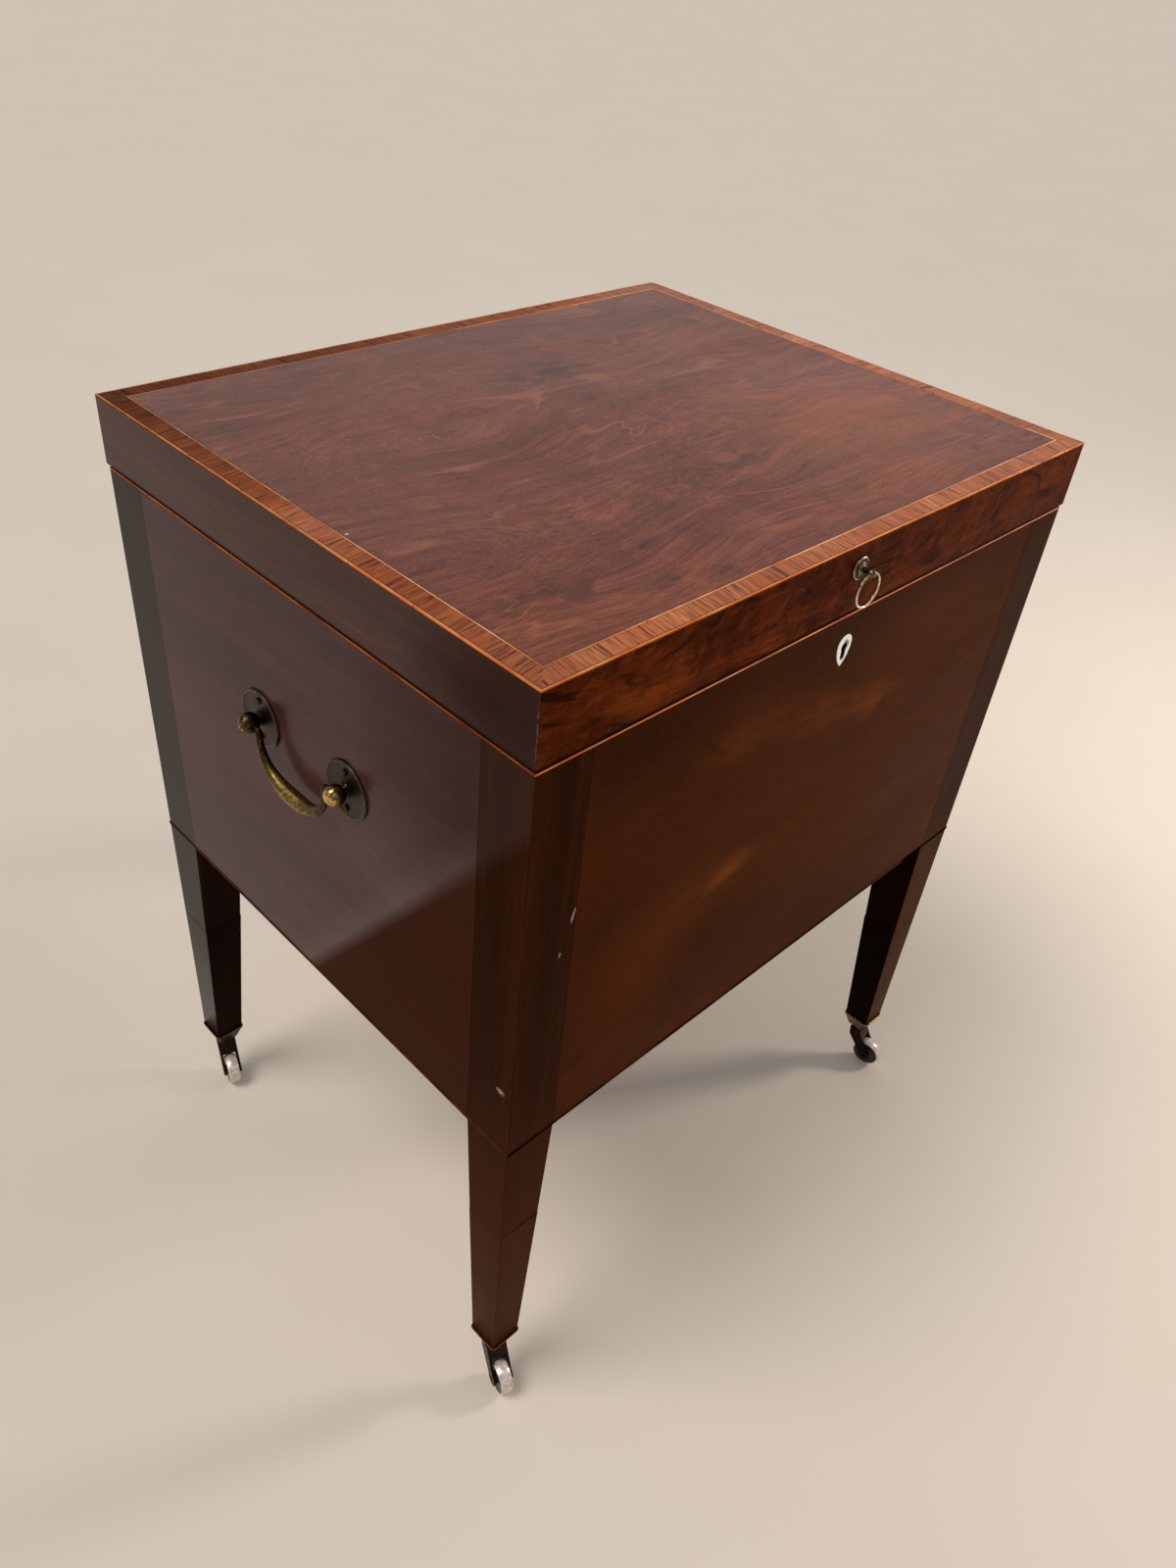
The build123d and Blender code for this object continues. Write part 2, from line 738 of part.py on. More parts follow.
def handle_post(sx, sy):
    """Ball with a shank through the rose and the panel; the bail's pin turns in the ball."""
    face = sx * case_width / 2
    y = handle_y(sy)
    ball_x = face + sx * ball_offset
    length = ball_offset + panel_t + nut_t + shank_end
    post = Pos(ball_x, y, handle_z) * Sphere(ball_r)
    post += rod(post_shank_r, (ball_x, y, handle_z), (-sx, 0, 0), length)
    inner_end = y + sy * (bail_pin_reach - ball_r + moving_gap)
    bore = rod(bail_pin_r + running_fit, (ball_x, inner_end, handle_z), (0, -sy, 0), 2 * ball_r)
    return post - bore


def handle_nut(sx, sy):
    """Square nut inside the case."""
    inner = sx * inner_width / 2
    y = handle_y(sy)
    half = nut_width / 2
    x0, x1 = min(inner, inner - sx * nut_t), max(inner, inner - sx * nut_t)
    nut = block(x0, x1, y - half, y + half, handle_z - half, handle_z + half)
    return nut - rod(post_shank_r + loose_fit, (inner, y, handle_z), (-sx, 0, 0), nut_t)


def rose_pins(sx, sy):
    """Two small round-headed pins, above and below a post."""
    face = sx * (case_width / 2 + rose_t)
    y = handle_y(sy)
    pins = []
    for sz in (-1, 1):
        start = (face, y, handle_z + sz * rose_pin_offset)
        pin = rod(rose_pin_head_r, start, (sx, 0, 0), rose_pin_head_t)
        pins.append(pin + rod(rose_pin_r, start, (-sx, 0, 0), rose_pin_length))
    return pins


def bail_point(share):
    """Centreline of the bail, a squarish half ellipse: share runs from 0 at the front to 1."""
    half = handle_spacing / 2 - ball_r - moving_gap - bail_eye_r
    angle = radians(180 * share - 90)
    power = 2 / bail_squareness
    side = 1 if share > 0.5 else -1
    return side * half * abs(sin(angle)) ** power, -bail_drop * abs(cos(angle)) ** power


def bail_section(share):
    """The bail's round section, square to its centreline and thickest at the grip."""
    y, z = bail_point(share)
    step = 1 / (2 * bail_sections)
    y0, z0 = bail_point(max(share - step, 0))
    y1, z1 = bail_point(min(share + step, 1))
    along = (0, y1 - y0, z1 - z0)
    if share in (0, 1):
        along = (0, 0, 2 * share - 1)
    swell = cos(radians(180 * share - 90)) ** 2
    radius = bail_end_r + (bail_grip_r - bail_end_r) * swell
    return Plane(origin=(0, y, z), x_dir=(1, 0, 0), z_dir=along) * Circle(radius)


def bail(sx):
    """Drop handle with an eye and a pin at each end."""
    grip = loft([bail_section(n / bail_sections) for n in range(bail_sections + 1)])
    half = bail_point(1)[0]
    reach = handle_spacing / 2 - ball_r + bail_pin_reach - half
    for sy in (-1, 1):
        grip += Pos(0, sy * half, 0) * Sphere(bail_eye_r)
        grip += rod(bail_pin_r, (0, sy * half, 0), (0, sy, 0), reach)
    return Pos(sx * (case_width / 2 + ball_offset), -handle_forward, handle_z) * grip


# Castors

def castor_cup(corner):
    """Square brass cup that narrows to the swivel, with a proud lip at its rim."""
    x, y = cup_centre(corner)
    rim = leg_end_width + 2 * cup_wall
    lip = leg_end_width + 2 * cup_lip
    outside = frustum((x, y), cup_foot_z, cup_foot_width, cup_rim_z, rim)
    low = cup_rim_z - cup_lip_height
    outside += block(x - lip / 2, x + lip / 2, y - lip / 2, y + lip / 2, low, cup_rim_z)
    foot = cup_foot_width - 2 * cup_wall
    cup = outside - frustum((x, y), cup_foot_z + cup_wall, foot, cup_rim_z, leg_end_width)
    return cup - rod(stem_r + running_fit, (x, y, cup_foot_z), (0, 0, 1), cup_wall)


def castor_place(corner):
    """Frame of a castor: origin on the floor under its swivel, X along the trail."""
    x, y = cup_centre(corner)
    turn = radians(castor_turn[corner])
    return Plane(origin=(x, y, 0), x_dir=(sin(turn), -cos(turn), 0), z_dir=(0, 0, 1))


def castor_horn(corner):
    """Horn: riveted stem, round boss, and a short neck that parts into two thin cheeks."""
    neck_z = castor_top_z - castor_boss_t
    half = castor_boss_r - horn_inset
    cheek = axle_eye_r - horn_inset
    eye = Pos(castor_trail, wheel_r) * Circle(axle_eye_r)
    neck = make_face(Polyline(
        (-half, neck_z + 1), (half, neck_z + 1), (half + 1, neck_z - 3),
        (castor_trail + 2, wheel_r + cheek), (castor_trail + cheek, wheel_r),
        (castor_trail - cheek, wheel_r - 1), (-half + 1, neck_z - 8), (-half, neck_z + 1),
    ))
    side = Plane.XZ * (neck + eye)
    horn = extrude(side, horn_width / 2, both=True)
    start = (castor_trail, -wheel_width, wheel_r)
    wheel_room = rod(wheel_r + wheel_top_gap, start, (0, 1, 0), 2 * wheel_width)
    slot = wheel_width / 2 + wheel_side_gap
    reach = castor_trail + 2 * wheel_r
    horn -= wheel_room & block(-reach, reach, -slot, slot, -wheel_r, 3 * wheel_r)
    horn -= block(castor_trail - horn_crown_gap, reach, -slot, slot, 0, neck_z)
    horn -= rod(axle_r, (castor_trail, -horn_width, wheel_r), (0, 1, 0), 2 * horn_width)
    boss = rod(castor_boss_r, (0, 0, neck_z), (0, 0, 1), castor_boss_t)
    stem_top = cup_foot_z + cup_wall + moving_gap
    stem = rod(stem_r, (0, 0, neck_z), (0, 0, 1), stem_top - neck_z)
    head = rod(stem_head_r, (0, 0, stem_top), (0, 0, 1), stem_head_t)
    return castor_place(corner) * (horn + boss + stem + head)


def castor_axle(corner):
    """Plain axle, riveted flush in the two cheeks."""
    start = (castor_trail, -horn_width / 2, wheel_r)
    return castor_place(corner) * rod(axle_r, start, (0, 1, 0), horn_width)


def castor_wheel(corner):
    """Solid wheel with a crowned tread and dished sides."""
    h = wheel_width / 2
    hub = axle_r + running_fit
    edge = wheel_r - wheel_crown
    outline = [
        Line((hub, -h), (wheel_hub_r, -h)),
        Line((wheel_hub_r, -h), (wheel_hub_r + 1, -h + wheel_dish)),
        Line((wheel_hub_r + 1, -h + wheel_dish), (edge - 2, -h + wheel_dish)),
        Line((edge - 2, -h + wheel_dish), (edge, -h + 0.4)),
        ThreePointArc((edge, -h + 0.4), (wheel_r, 0), (edge, h - 0.4)),
        Line((edge, h - 0.4), (edge - 2, h - wheel_dish)),
        Line((edge - 2, h - wheel_dish), (wheel_hub_r + 1, h - wheel_dish)),
        Line((wheel_hub_r + 1, h - wheel_dish), (wheel_hub_r, h)),
        Line((wheel_hub_r, h), (hub, h)),
        Line((hub, h), (hub, -h)),
    ]
    wheel = revolve(make_face(Plane.XZ * Wire(outline)), Axis.Z)
    lying = Plane(origin=(castor_trail, 0, wheel_r), z_dir=(0, 1, 0)) * wheel
    return castor_place(corner) * lying


# Write every sub-part

def save_case():
    """Carcass, bottle divisions and inlays."""
    save("front_panel", [front_panel()])
    save("back_panel", [back_panel()])
    save("left_panel", [side_panel(-1)])
    save("right_panel", [side_panel(1)])
    for corner in corners:
        save(f"corner_post_{corner}", [corner_post(corner)])
        save(f"leg_tip_{corner}", [leg_tip(corner)])
    save("bottom_board", [bottom_board()])
    save("case_top_string", top_strings())
    save("case_bottom_bead", bead_strips())
    save("long_dividers", [long_divider(y) for y in divider_ys()])
    save("cross_dividers", [cross_divider(x) for x in divider_xs()])
    save("escutcheon", [escutcheon_plate() - keyhole(-case_depth, 0, 0)])


def save_lock_and_hinges():
    """Lock, link plate, hinges and their screws."""
    save("lock_plate", [lock_plate()])
    save("lock_cap", [lock_cap()])
    save("lock_key_pin", [lock_key_pin()])
    save("lock_bolt", [lock_bolt()])
    save("lock_link_plate", [link_plate()])
    save("hinge_case_leaves", [hinge_leaf(x, -1) for x in (-hinge_x, hinge_x)])
    save("hinge_lid_leaves", [hinge_leaf(x, 1) for x in (-hinge_x, hinge_x)])
    save("hinge_pins", [hinge_pin(x) for x in (-hinge_x, hinge_x)])
    case_screws = [screw(head, (0, 0, -1)) for head in hinge_screw_heads(-1)]
    case_screws += [screw(head, (0, -1, 0)) for head in lock_screw_heads()]
    save("case_screws", case_screws)
    lid_heads = hinge_screw_heads(1) + link_screw_heads()
    save("lid_screws", [screw(head, (0, 0, 1)) for head in lid_heads])


def save_lid():
    """Lid with its veneers, strings and ring pull."""
    front, right, back, left = lid_rails()
    save("lid_front_rail", [front])
    save("lid_right_rail", [right])
    save("lid_back_rail", [back])
    save("lid_left_rail", [left])
    save("lid_top_board", [lid_board()])
    save("lid_field_veneer", [field_veneer()])
    save("lid_outer_string", veneer_frame(0, outer_string))
    save("lid_crossbanding", veneer_frame(outer_string, crossband))
    save("lid_inner_string", veneer_frame(outer_string + crossband, inner_string))
    save("ring_pull_post", [pull_post()])
    save("ring_pull_ring", [pull_ring()])


def save_handles():
    """Both side handles."""
    for side, sx in (("left", -1), ("right", 1)):
        save(f"{side}_handle_roses", [handle_rose(sx, sy) for sy in (-1, 1)])
        save(f"{side}_handle_posts", [handle_post(sx, sy) for sy in (-1, 1)])
        save(f"{side}_bail", [bail(sx)])
    pairs = [(sx, sy) for sx in (-1, 1) for sy in (-1, 1)]
    save("handle_nuts", [handle_nut(sx, sy) for sx, sy in pairs])
    save("handle_rose_pins", [pin for sx, sy in pairs for pin in rose_pins(sx, sy)])


def save_castors():
    """Four castors."""
    save("castor_cups", [castor_cup(corner) for corner in corners])
    for corner in corners:
        save(f"castor_horn_{corner}", [castor_horn(corner)])
        save(f"castor_axle_{corner}", [castor_axle(corner)])
        save(f"castor_wheel_{corner}", [castor_wheel(corner)])


os.makedirs("parts", exist_ok=True)
save_case()
save_lock_and_hinges()
save_lid()
save_handles()
save_castors()
print("written:", len(os.listdir("parts")), "sub-parts")
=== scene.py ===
# %% [markdown]
# A cellarette, finished piece by piece
#
# This case on four legs kept bottles cool and locked away. It stands on brass castors, has a
# drop handle on each side, and its lid is veneered: a figured mahogany field, a thin string,
# a band of wood laid across the grain, and a pale string on the very edge. The imported model
# already holds every piece at its true size. Here each piece gets the surface that a hand
# would feel: eased edges, cast and turned brass, old polish, wear and grime, and in places
# painted light and shade.
#
# Lengths in this file are in metres. MM turns a size that a maker would say in millimetres.

import json
from math import radians

import bmesh
import bpy
import numpy as np
from mathutils import Matrix, Vector


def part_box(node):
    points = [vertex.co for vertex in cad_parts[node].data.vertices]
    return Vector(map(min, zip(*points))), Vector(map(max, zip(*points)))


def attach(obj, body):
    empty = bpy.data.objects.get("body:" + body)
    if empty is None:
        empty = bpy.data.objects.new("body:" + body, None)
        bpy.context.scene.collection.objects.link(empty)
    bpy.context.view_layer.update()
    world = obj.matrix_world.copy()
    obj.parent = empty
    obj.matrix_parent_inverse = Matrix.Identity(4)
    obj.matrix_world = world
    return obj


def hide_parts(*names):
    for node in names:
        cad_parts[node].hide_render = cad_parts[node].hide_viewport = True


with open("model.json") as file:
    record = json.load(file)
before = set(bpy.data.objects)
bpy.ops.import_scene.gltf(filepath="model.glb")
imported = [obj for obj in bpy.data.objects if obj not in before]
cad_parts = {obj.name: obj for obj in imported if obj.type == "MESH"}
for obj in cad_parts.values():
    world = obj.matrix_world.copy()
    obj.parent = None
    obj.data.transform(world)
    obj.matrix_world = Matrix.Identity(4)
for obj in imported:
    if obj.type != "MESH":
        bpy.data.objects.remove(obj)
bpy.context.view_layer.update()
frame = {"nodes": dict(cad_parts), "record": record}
MM = 0.001
bodies = frame["record"]["behaviour"]["bodies"]
home = {node: body for body, nodes in bodies.items() for node in nodes}


def linked(name, data):
    """An object in the scene that shows a mesh, a lamp or a camera."""
    made = bpy.data.objects.new(name, data)
    bpy.context.collection.objects.link(made)
    return made


# %% [markdown]
# The camera stands close to the front left corner and looks down on the lid, turned a few
# degrees out of level, as a hand held camera is. Place, direction and the picture's right
# hand side were worked out from the corners of the case. The lens is wide, so near corners
# look large and the legs draw together downwards.

# %% Camera
camera_place = Vector((-0.56477, -0.51912, 0.94980))
camera_ahead = Vector((0.58543, 0.52663, -0.61639))
camera_right = Vector((0.71438, -0.69457, 0.08508))
camera_lens = 27.40

camera = linked("camera", bpy.data.cameras.new("camera"))
camera.data.lens = camera_lens
camera.data.clip_start = 0.01
camera_up = camera_right.cross(camera_ahead)
turned_to = Matrix((camera_right, camera_up, -camera_ahead)).transposed().to_4x4()
camera.matrix_world = Matrix.Translation(camera_place) @ turned_to
bpy.context.scene.camera = camera
print("camera:", [round(v, 3) for v in camera_place])

# %% [markdown]
# A material is a small recipe. Writing it node by node hides what it says, so this class
# keeps one line for each step: it adds a node, fills its inputs, and hands back its output.
# Patterns read Object coordinates. Every piece sits at the origin, so these are simply the
# place in the room, and wood figure has the same real scale on every piece.

# %% Mixing a finish
def tone(colour):
    """A colour said as it would look on a screen, 0 to 255, made linear for the shader."""
    share = np.array(colour) / 255
    linear = np.where(share > 0.04045, ((share + 0.055) / 1.055) ** 2.4, share / 12.92)
    return (*[float(v) for v in linear], 1)


class Finish:
    """A material while it is mixed. self.colour is the colour that has been reached so far."""

    def __init__(self, name):
        self.material = bpy.data.materials.new(name)
        self.material.use_nodes = True
        self.tree = self.material.node_tree
        self.tree.nodes.clear()
        self.where = self.add("TexCoord", {}).outputs["Object"]
        self.colour = None

    def add(self, kind, inputs, **settings):
        """One node. An input is either a plain value or another node's output."""
        node = self.tree.nodes.new("ShaderNode" + kind)
        for key, value in settings.items():
            setattr(node, key, value)
        for key, value in inputs.items():
            if isinstance(value, bpy.types.NodeSocket):
                self.tree.links.new(value, node.inputs[key])
            else:
                node.inputs[key].default_value = value
        return node

    def mapped(self, where, scale=(1, 1, 1), turn=(0, 0, 0), shift=(0, 0, 0)):
        """Coordinates scaled, then turned, then shifted."""
        inputs = {"Vector": where, "Scale": scale, "Rotation": turn, "Location": shift}
        return self.add("Mapping", inputs).outputs[0]

    def noise(self, where, scale, detail=3, roughness=0.5, warp=0):
        """Cloudy values round 0.5."""
        inputs = {"Vector": where, "Scale": scale, "Detail": detail, "Roughness": roughness}
        return self.add("TexNoise", inputs | {"Distortion": warp}).outputs[0]

    def spread(self, value, low, high, to_low=0, to_high=1):
        """Carries low to high onto to_low to to_high, and stops at both ends."""
        inputs = {"Value": value, "From Min": low, "From Max": high}
        inputs |= {"To Min": to_low, "To Max": to_high}
        return self.add("MapRange", inputs).outputs[0]

    def sum(self, operation, first, second=0, third=0):
        """One step of arithmetic."""
        return self.add("Math", {0: first, 1: second, 2: third}, operation=operation).outputs[0]

    def coordinate(self, axis, where=None):
        """The x, y or z of a place: axis is 0, 1 or 2."""
        where = self.where if where is None else where
        return self.add("SeparateXYZ", {0: where}).outputs[axis]

    def mix(self, share, low, high):
        """From one colour to another. Each is said as three numbers, or is a node's output."""
        low, high = [c if isinstance(c, bpy.types.NodeSocket) else tone(c) for c in (low, high)]
        return self.add("Mix", {0: share, 6: low, 7: high}, data_type="RGBA").outputs[2]

    def ramp(self, value, *stops):
        """A scale of colours: each stop is a place from 0 to 1 and its colour."""
        node = self.add("ValToRGB", {0: value})
        marks = node.color_ramp.elements
        while len(marks) < len(stops):
            marks.new(0.5)
        for mark, (place, colour) in zip(marks, stops):
            mark.position = place
            mark.color = tone(colour)
        return node.outputs[0]

    def cover(self, mask, amount, colour):
        """Lays a colour over the one so far where a mask is 1."""
        self.colour = self.mix(self.sum("MULTIPLY", mask, amount), self.colour, colour)

    def patch(self, centre, radii, turn=(0, 0, 0), soft=0.1):
        """1 inside a turned ellipsoid, falling to 0 at its skin. soft is where the fall starts."""
        inputs = {"Vector": self.where, "Location": centre, "Rotation": turn, "Scale": radii}
        local = self.add("Mapping", inputs, vector_type="TEXTURE").outputs[0]
        far = self.add("VectorMath", {0: local}, operation="LENGTH").outputs["Value"]
        return self.spread(far, soft, 1, 1, 0)

    def mark(self, amount, colour, centre, radii, turn=(0, 0, 0), soft=0, broken=0):
        """A scratch, stain or shade in a patch. broken lets what is under it through."""
        mask = self.patch(centre, radii, turn, soft)
        if broken:
            gaps = self.spread(self.noise(self.where, broken, 3), 0.42, 0.55)
            mask = self.sum("MULTIPLY", mask, gaps)
        self.cover(mask, amount, colour)

    def bump(self, height, distance, strength=1, below=None):
        """Relief from a height of 0 to 1 times a distance in metres."""
        inputs = {"Height": height, "Distance": distance, "Strength": strength}
        if below is not None:
            inputs["Normal"] = below
        return self.add("Bump", inputs).outputs[0]

    def done(self, roughness, normal=None, **constants):
        """The surface itself. Names of constants are the shader's own, with _ for a space."""
        inputs = {"Base Color": self.colour, "Roughness": roughness}
        if normal is not None:
            inputs["Normal"] = normal
        inputs |= {key.replace("_", " "): value for key, value in constants.items()}
        shader = self.add("BsdfPrincipled", inputs)
        self.add("OutputMaterial", {"Surface": shader.outputs[0]})
        print("finish:", self.material.name, "with", len(self.tree.nodes), "nodes")
        return self.material


# %% [markdown]
# Mahogany under old shellac is the look of the whole piece. On the real thing three scales of
# figure lie over each other: broad bands where the saw crossed the growth of the tree, narrow
# streaks along the grain, and pores, which are dark dashes a few millimetres long. Polish
# darkens and smears them. An image of wood would do this once, at one size. Noise that is
# stretched along the grain does it for every board, at the right scale, and never repeats.

# %% Mahogany
TURN_GRAIN = {"x": (0, 0, 0), "y": (0, 0, radians(-90)), "z": (0, radians(90), 0)}
REFLECTION_LINE = 0.312  # where the side's lower part, painted as a dark reflection, begins, halfway from front to back
REFLECTION_LEAN = 1.24  # and how much lower for each metre towards the back


class Mahogany(Finish):
    """A wood finish. Its grain runs along x, y or z, and shift moves it to another tree."""

    def __init__(self, name, grain, tones, shift, bands=20, flow=0.03, weights=(1, 0.3, 0.3, 0.2)):
        super().__init__(name)
        self.board = self.mapped(self.where, turn=TURN_GRAIN[grain], shift=(shift, shift / 3, 0))
        self.flowing = self.flow_of(self.board, flow)
        figure = self.figure(bands, weights)
        self.colour = self.ramp(figure, (0.28, tones[0]), (0.5, tones[1]), (0.74, tones[2]))
        self.pores = self.spread(self.along((90, 2200, 2200), 1), 0.6, 0.72)
        self.cover(self.pores, 0.55, (22, 8, 6))

    def flow_of(self, board, amount):
        """The grain's slow wander: each point is moved sideways by a soft cloud."""
        slow = self.mapped(board, scale=(2.6, 5.5, 5.5))
        cloud = self.add("TexNoise", {"Vector": slow, "Scale": 1, "Detail": 2}).outputs[1]
        centred = self.add("VectorMath", {0: cloud, 1: (0.5, 0.5, 0.5)}, operation="SUBTRACT")
        inputs = {0: centred.outputs[0], 1: (0, amount * 2, amount * 2), 2: board}
        return self.add("VectorMath", inputs, operation="MULTIPLY_ADD").outputs[0]

    def along(self, scale, *look):
        """A cloud on the flowing grain. look is its detail, roughness and warp."""
        return self.noise(self.mapped(self.flowing, scale=scale), 1, *look)

    def figure(self, bands, weights):
        """0.5 plus bands, flow lines, narrow streaks and a roe across them, each times its weight."""
        layers = (self.along((1.3, bands, bands), 4, 0.55),
                  self.along((2.2, 5 * bands, 5 * bands), 4, 0.6, 0.25),
                  self.along((11, 360, 360), 3, 0.65), self.along((34, 7, 7), 2, 0.5, 0.6))
        total = 0.5
        for layer, weight in zip(layers, weights):
            total = self.sum("MULTIPLY_ADD", self.sum("SUBTRACT", layer, 0.5), weight, total)
        return total

    def below(self, height, lean=0, soft=0.3 * MM):
        """1 below a height, which can fall by lean for each metre towards the back."""
        level = self.sum("MULTIPLY_ADD", self.coordinate(1), lean, self.coordinate(2))
        return self.spread(level, height - soft, height + soft, 1, 0)

    def dark_reflection_part(self, higher=0, soft=8 * MM):
        """1 on the lower part of the case's side that is painted as a dark, warm reflection, or on one
        that reaches higher.
        """
        return self.below(REFLECTION_LINE + higher, REFLECTION_LEAN, soft)

    def beyond(self, axis, place):
        """1 where x or y passes a place outwards, on either side of the case."""
        far = self.sum("ABSOLUTE", self.coordinate(axis))
        return self.spread(far, place - 0.6 * MM, place - 0.2 * MM)

    def painted_glow(self, amount, colour, centre, radii, turn=(0, 0, 0)):
        """A painted patch of amber light in the figure, broken by a cloud along the grain."""
        cloud = self.spread(self.along((16, 42, 42), 4, 0.6, 0.8), 0.34, 0.72)
        lit = self.sum("MULTIPLY", self.patch(centre, radii, turn), cloud)
        self.cover(lit, amount, colour)

    def fleck(self, amount, colour, scale=(240, 1300, 1300), low=0.58, high=0.7):
        """Fine grains of another tone all over, longer along the grain."""
        self.cover(self.spread(self.along(scale, 2, 0.6), low, high), amount, colour)

    def border(self, half_x, half_y, inset, colour, amount):
        """Grime in the joint round a field of the given half sizes, broken here and there."""
        over_x = self.sum("SUBTRACT", self.sum("ABSOLUTE", self.coordinate(0)), half_x)
        over_y = self.sum("SUBTRACT", self.sum("ABSOLUTE", self.coordinate(1)), half_y)
        near = self.spread(self.sum("MAXIMUM", over_x, over_y), -inset, -0.4 * inset)
        worn = self.spread(self.noise(self.where, 42, 3), 0.34, 0.56)
        self.cover(self.sum("MULTIPLY", near, worn), amount, colour)

    def curl(self, amount, light, dark):
        """Short mottled curl: leaning flecks of light and dark, each a few millimetres long."""
        leaning = self.mapped(self.flowing, turn=(0, radians(35), 0))
        cloud = self.noise(self.mapped(leaning, scale=(75, 120, 170)), 1, 4, 0.62, 0.9)
        self.cover(self.spread(cloud, 0.54, 0.72), amount, light)
        self.cover(self.spread(cloud, 0.3, 0.46, 1, 0), amount, dark)

    def veins(self, amount, colour, scale, width):
        """Thin lines along the grain, where a slow cloud passes through its middle value."""
        cloud = self.along(scale, 2, 0.5, 0.4)
        off = self.sum("ABSOLUTE", self.sum("SUBTRACT", cloud, 0.5))
        broken = self.spread(self.noise(self.where, 24, 2), 0.42, 0.6)
        line = self.sum("MULTIPLY", self.spread(off, 0.2 * width, width, 1, 0), broken)
        self.cover(line, amount, colour)

    def shine_less(self, full, *masks):
        """How much clear polish lies on top: full, but almost none where a mask is 1."""
        left = full
        for mask in masks:
            left = self.sum("MULTIPLY", self.spread(mask, 0, 1, 1, 0.03), left)
        return left

    def polished(self, gloss=0.3, **constants):
        """Shellac over the wood: smeared by hands, a little wavy, sunk into the pores."""
        smear = self.noise(self.mapped(self.board, scale=(5, 16, 16)), 1, 4, 0.6, 0.5)
        roughness = self.spread(smear, 0.3, 0.7, gloss - 0.06, gloss + 0.1)
        wave = self.noise(self.mapped(self.board, scale=(9, 20, 20)), 1, 2)
        waves = self.bump(wave, 0.35 * MM)
        normal = self.bump(self.sum("SUBTRACT", 1, self.pores), 0.04 * MM, 0.5, waves)
        settings = {"IOR": 1.05, "Specular_Tint": (1, 0.6, 0.35, 1)}
        return self.done(roughness, normal, **(settings | constants))


# %% Finishes for the top of the lid
def on_top(x, y, half_x, half_y, lean=0):
    """A patch on the lid's top: its centre, radii and turn, which is said in degrees."""
    return (x, y, 0.655), (half_x, half_y, 0.02), (0, 0, radians(lean))


def field_finish():
    """The dark, flowing field of the lid, with the scratches of two centuries."""
    tones = (70, 34, 26), (108, 55, 40), (148, 80, 54)
    wood = Mahogany("field_mahogany", "x", tones, 3.1, bands=12, flow=0.11,
                    weights=(0.5, 0.45, 0.65, 0.2))
    wood.mark(0.45, (160, 92, 58), *on_top(0.15, -0.08, 0.16, 0.12, 20))
    wood.mark(0.6, (110, 66, 55), *on_top(-0.04, 0.12, 0.30, 0.14))
    wood.mark(0.5, (106, 66, 58), *on_top(-0.20, -0.02, 0.12, 0.12))
    wood.veins(0.4, (66, 34, 27), (4, 34, 34), 0.03)
    wood.veins(0.3, (178, 112, 76), (3, 26, 26), 0.02)
    wood.fleck(0.4, (180, 116, 84))
    dark, pale = (52, 30, 28), (222, 206, 196)
    for x, y, half_x, half_y in ((-0.118, -0.136, 0.026, 0.009), (-0.096, -0.181, 0.036, 0.012),
                                 (-0.173, -0.152, 0.045, 0.012), (-0.128, -0.170, 0.018, 0.007),
                                 (0.030, -0.085, 0.045, 0.018), (0.020, 0.090, 0.070, 0.030)):
        wood.mark(0.75, dark, *on_top(x, y, half_x, half_y, 9), broken=55)
    for x, y, colour in ((-0.2377, -0.036, pale), (-0.062, -0.003, dark), (-0.2235, -0.006, dark)):
        wood.mark(0.9, colour, *on_top(x, y, 1.4 * MM, 0.9 * MM), soft=0.5)
    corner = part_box("lid_field_veneer")[1]
    wood.border(corner.x, corner.y, 0.9 * MM, (34, 16, 12), 0.85)
    return wood.polished(gloss=0.26, IOR=1.36, Coat_Weight=0.06, Coat_Roughness=0.12, Coat_IOR=1.4)


field_mahogany = field_finish()

# %% [markdown]
# The band round the field is laid across the grain, so its fibres point at the edge of the
# lid. The band is four mitred strips, and each needs its own direction. A UV map carries it:
# u runs along the strip and v from its outer edge inwards, both in metres.

# %% Crossband and strings
def crossband_finish():
    """Warm, lighter wood with its grain across the strip and dark lines where it moved."""
    wood = Finish("crossband_wood")
    band = wood.add("TexCoord", {}).outputs["UV"]
    slanted = wood.mapped(band, turn=(0, 0, radians(7)))
    length = wood.noise(wood.mapped(slanted, scale=(26, 4, 1)), 1, 4, 0.6)
    lines = wood.noise(wood.mapped(slanted, scale=(800, 36, 1)), 1, 3, 0.65, 0.2)
    deep = wood.noise(wood.mapped(slanted, scale=(420, 20, 1)), 1, 3, 0.6, 0.3)
    wood.colour = wood.ramp(length, (0.3, (156, 82, 44)), (0.5, (186, 102, 56)), (0.7, (206, 126, 76)))
    wood.mark(0.6, (124, 64, 36), (-0.25, -0.15, 0.655), (0.04, 0.16, 0.05))
    wood.mark(0.75, (134, 78, 58), (-0.05, 0.28, 0.655), (0.5, 0.3, 0.2), soft=0.2)
    wood.cover(wood.spread(lines, 0.46, 0.6), 0.72, (104, 48, 27))
    wood.cover(wood.spread(deep, 0.57, 0.64), 0.8, (62, 26, 16))
    across = wood.coordinate(1, band)
    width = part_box("lid_outer_string")[1].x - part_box("lid_inner_string")[1].x
    seam = wood.spread(across, width - 0.6 * MM, width - 0.1 * MM)
    rim = wood.spread(across, 1.5 * MM, 2.1 * MM, 1, 0)
    wood.cover(wood.sum("MAXIMUM", seam, rim), 0.6, (60, 26, 16))
    roughness = wood.spread(wood.noise(wood.where, 60, 3), 0.3, 0.7, 0.24, 0.36)
    normal = wood.bump(lines, 0.05 * MM, 0.5)
    return wood.done(roughness, normal, IOR=1.26, Coat_Weight=0.05, Coat_Roughness=0.12, Coat_IOR=1.4)


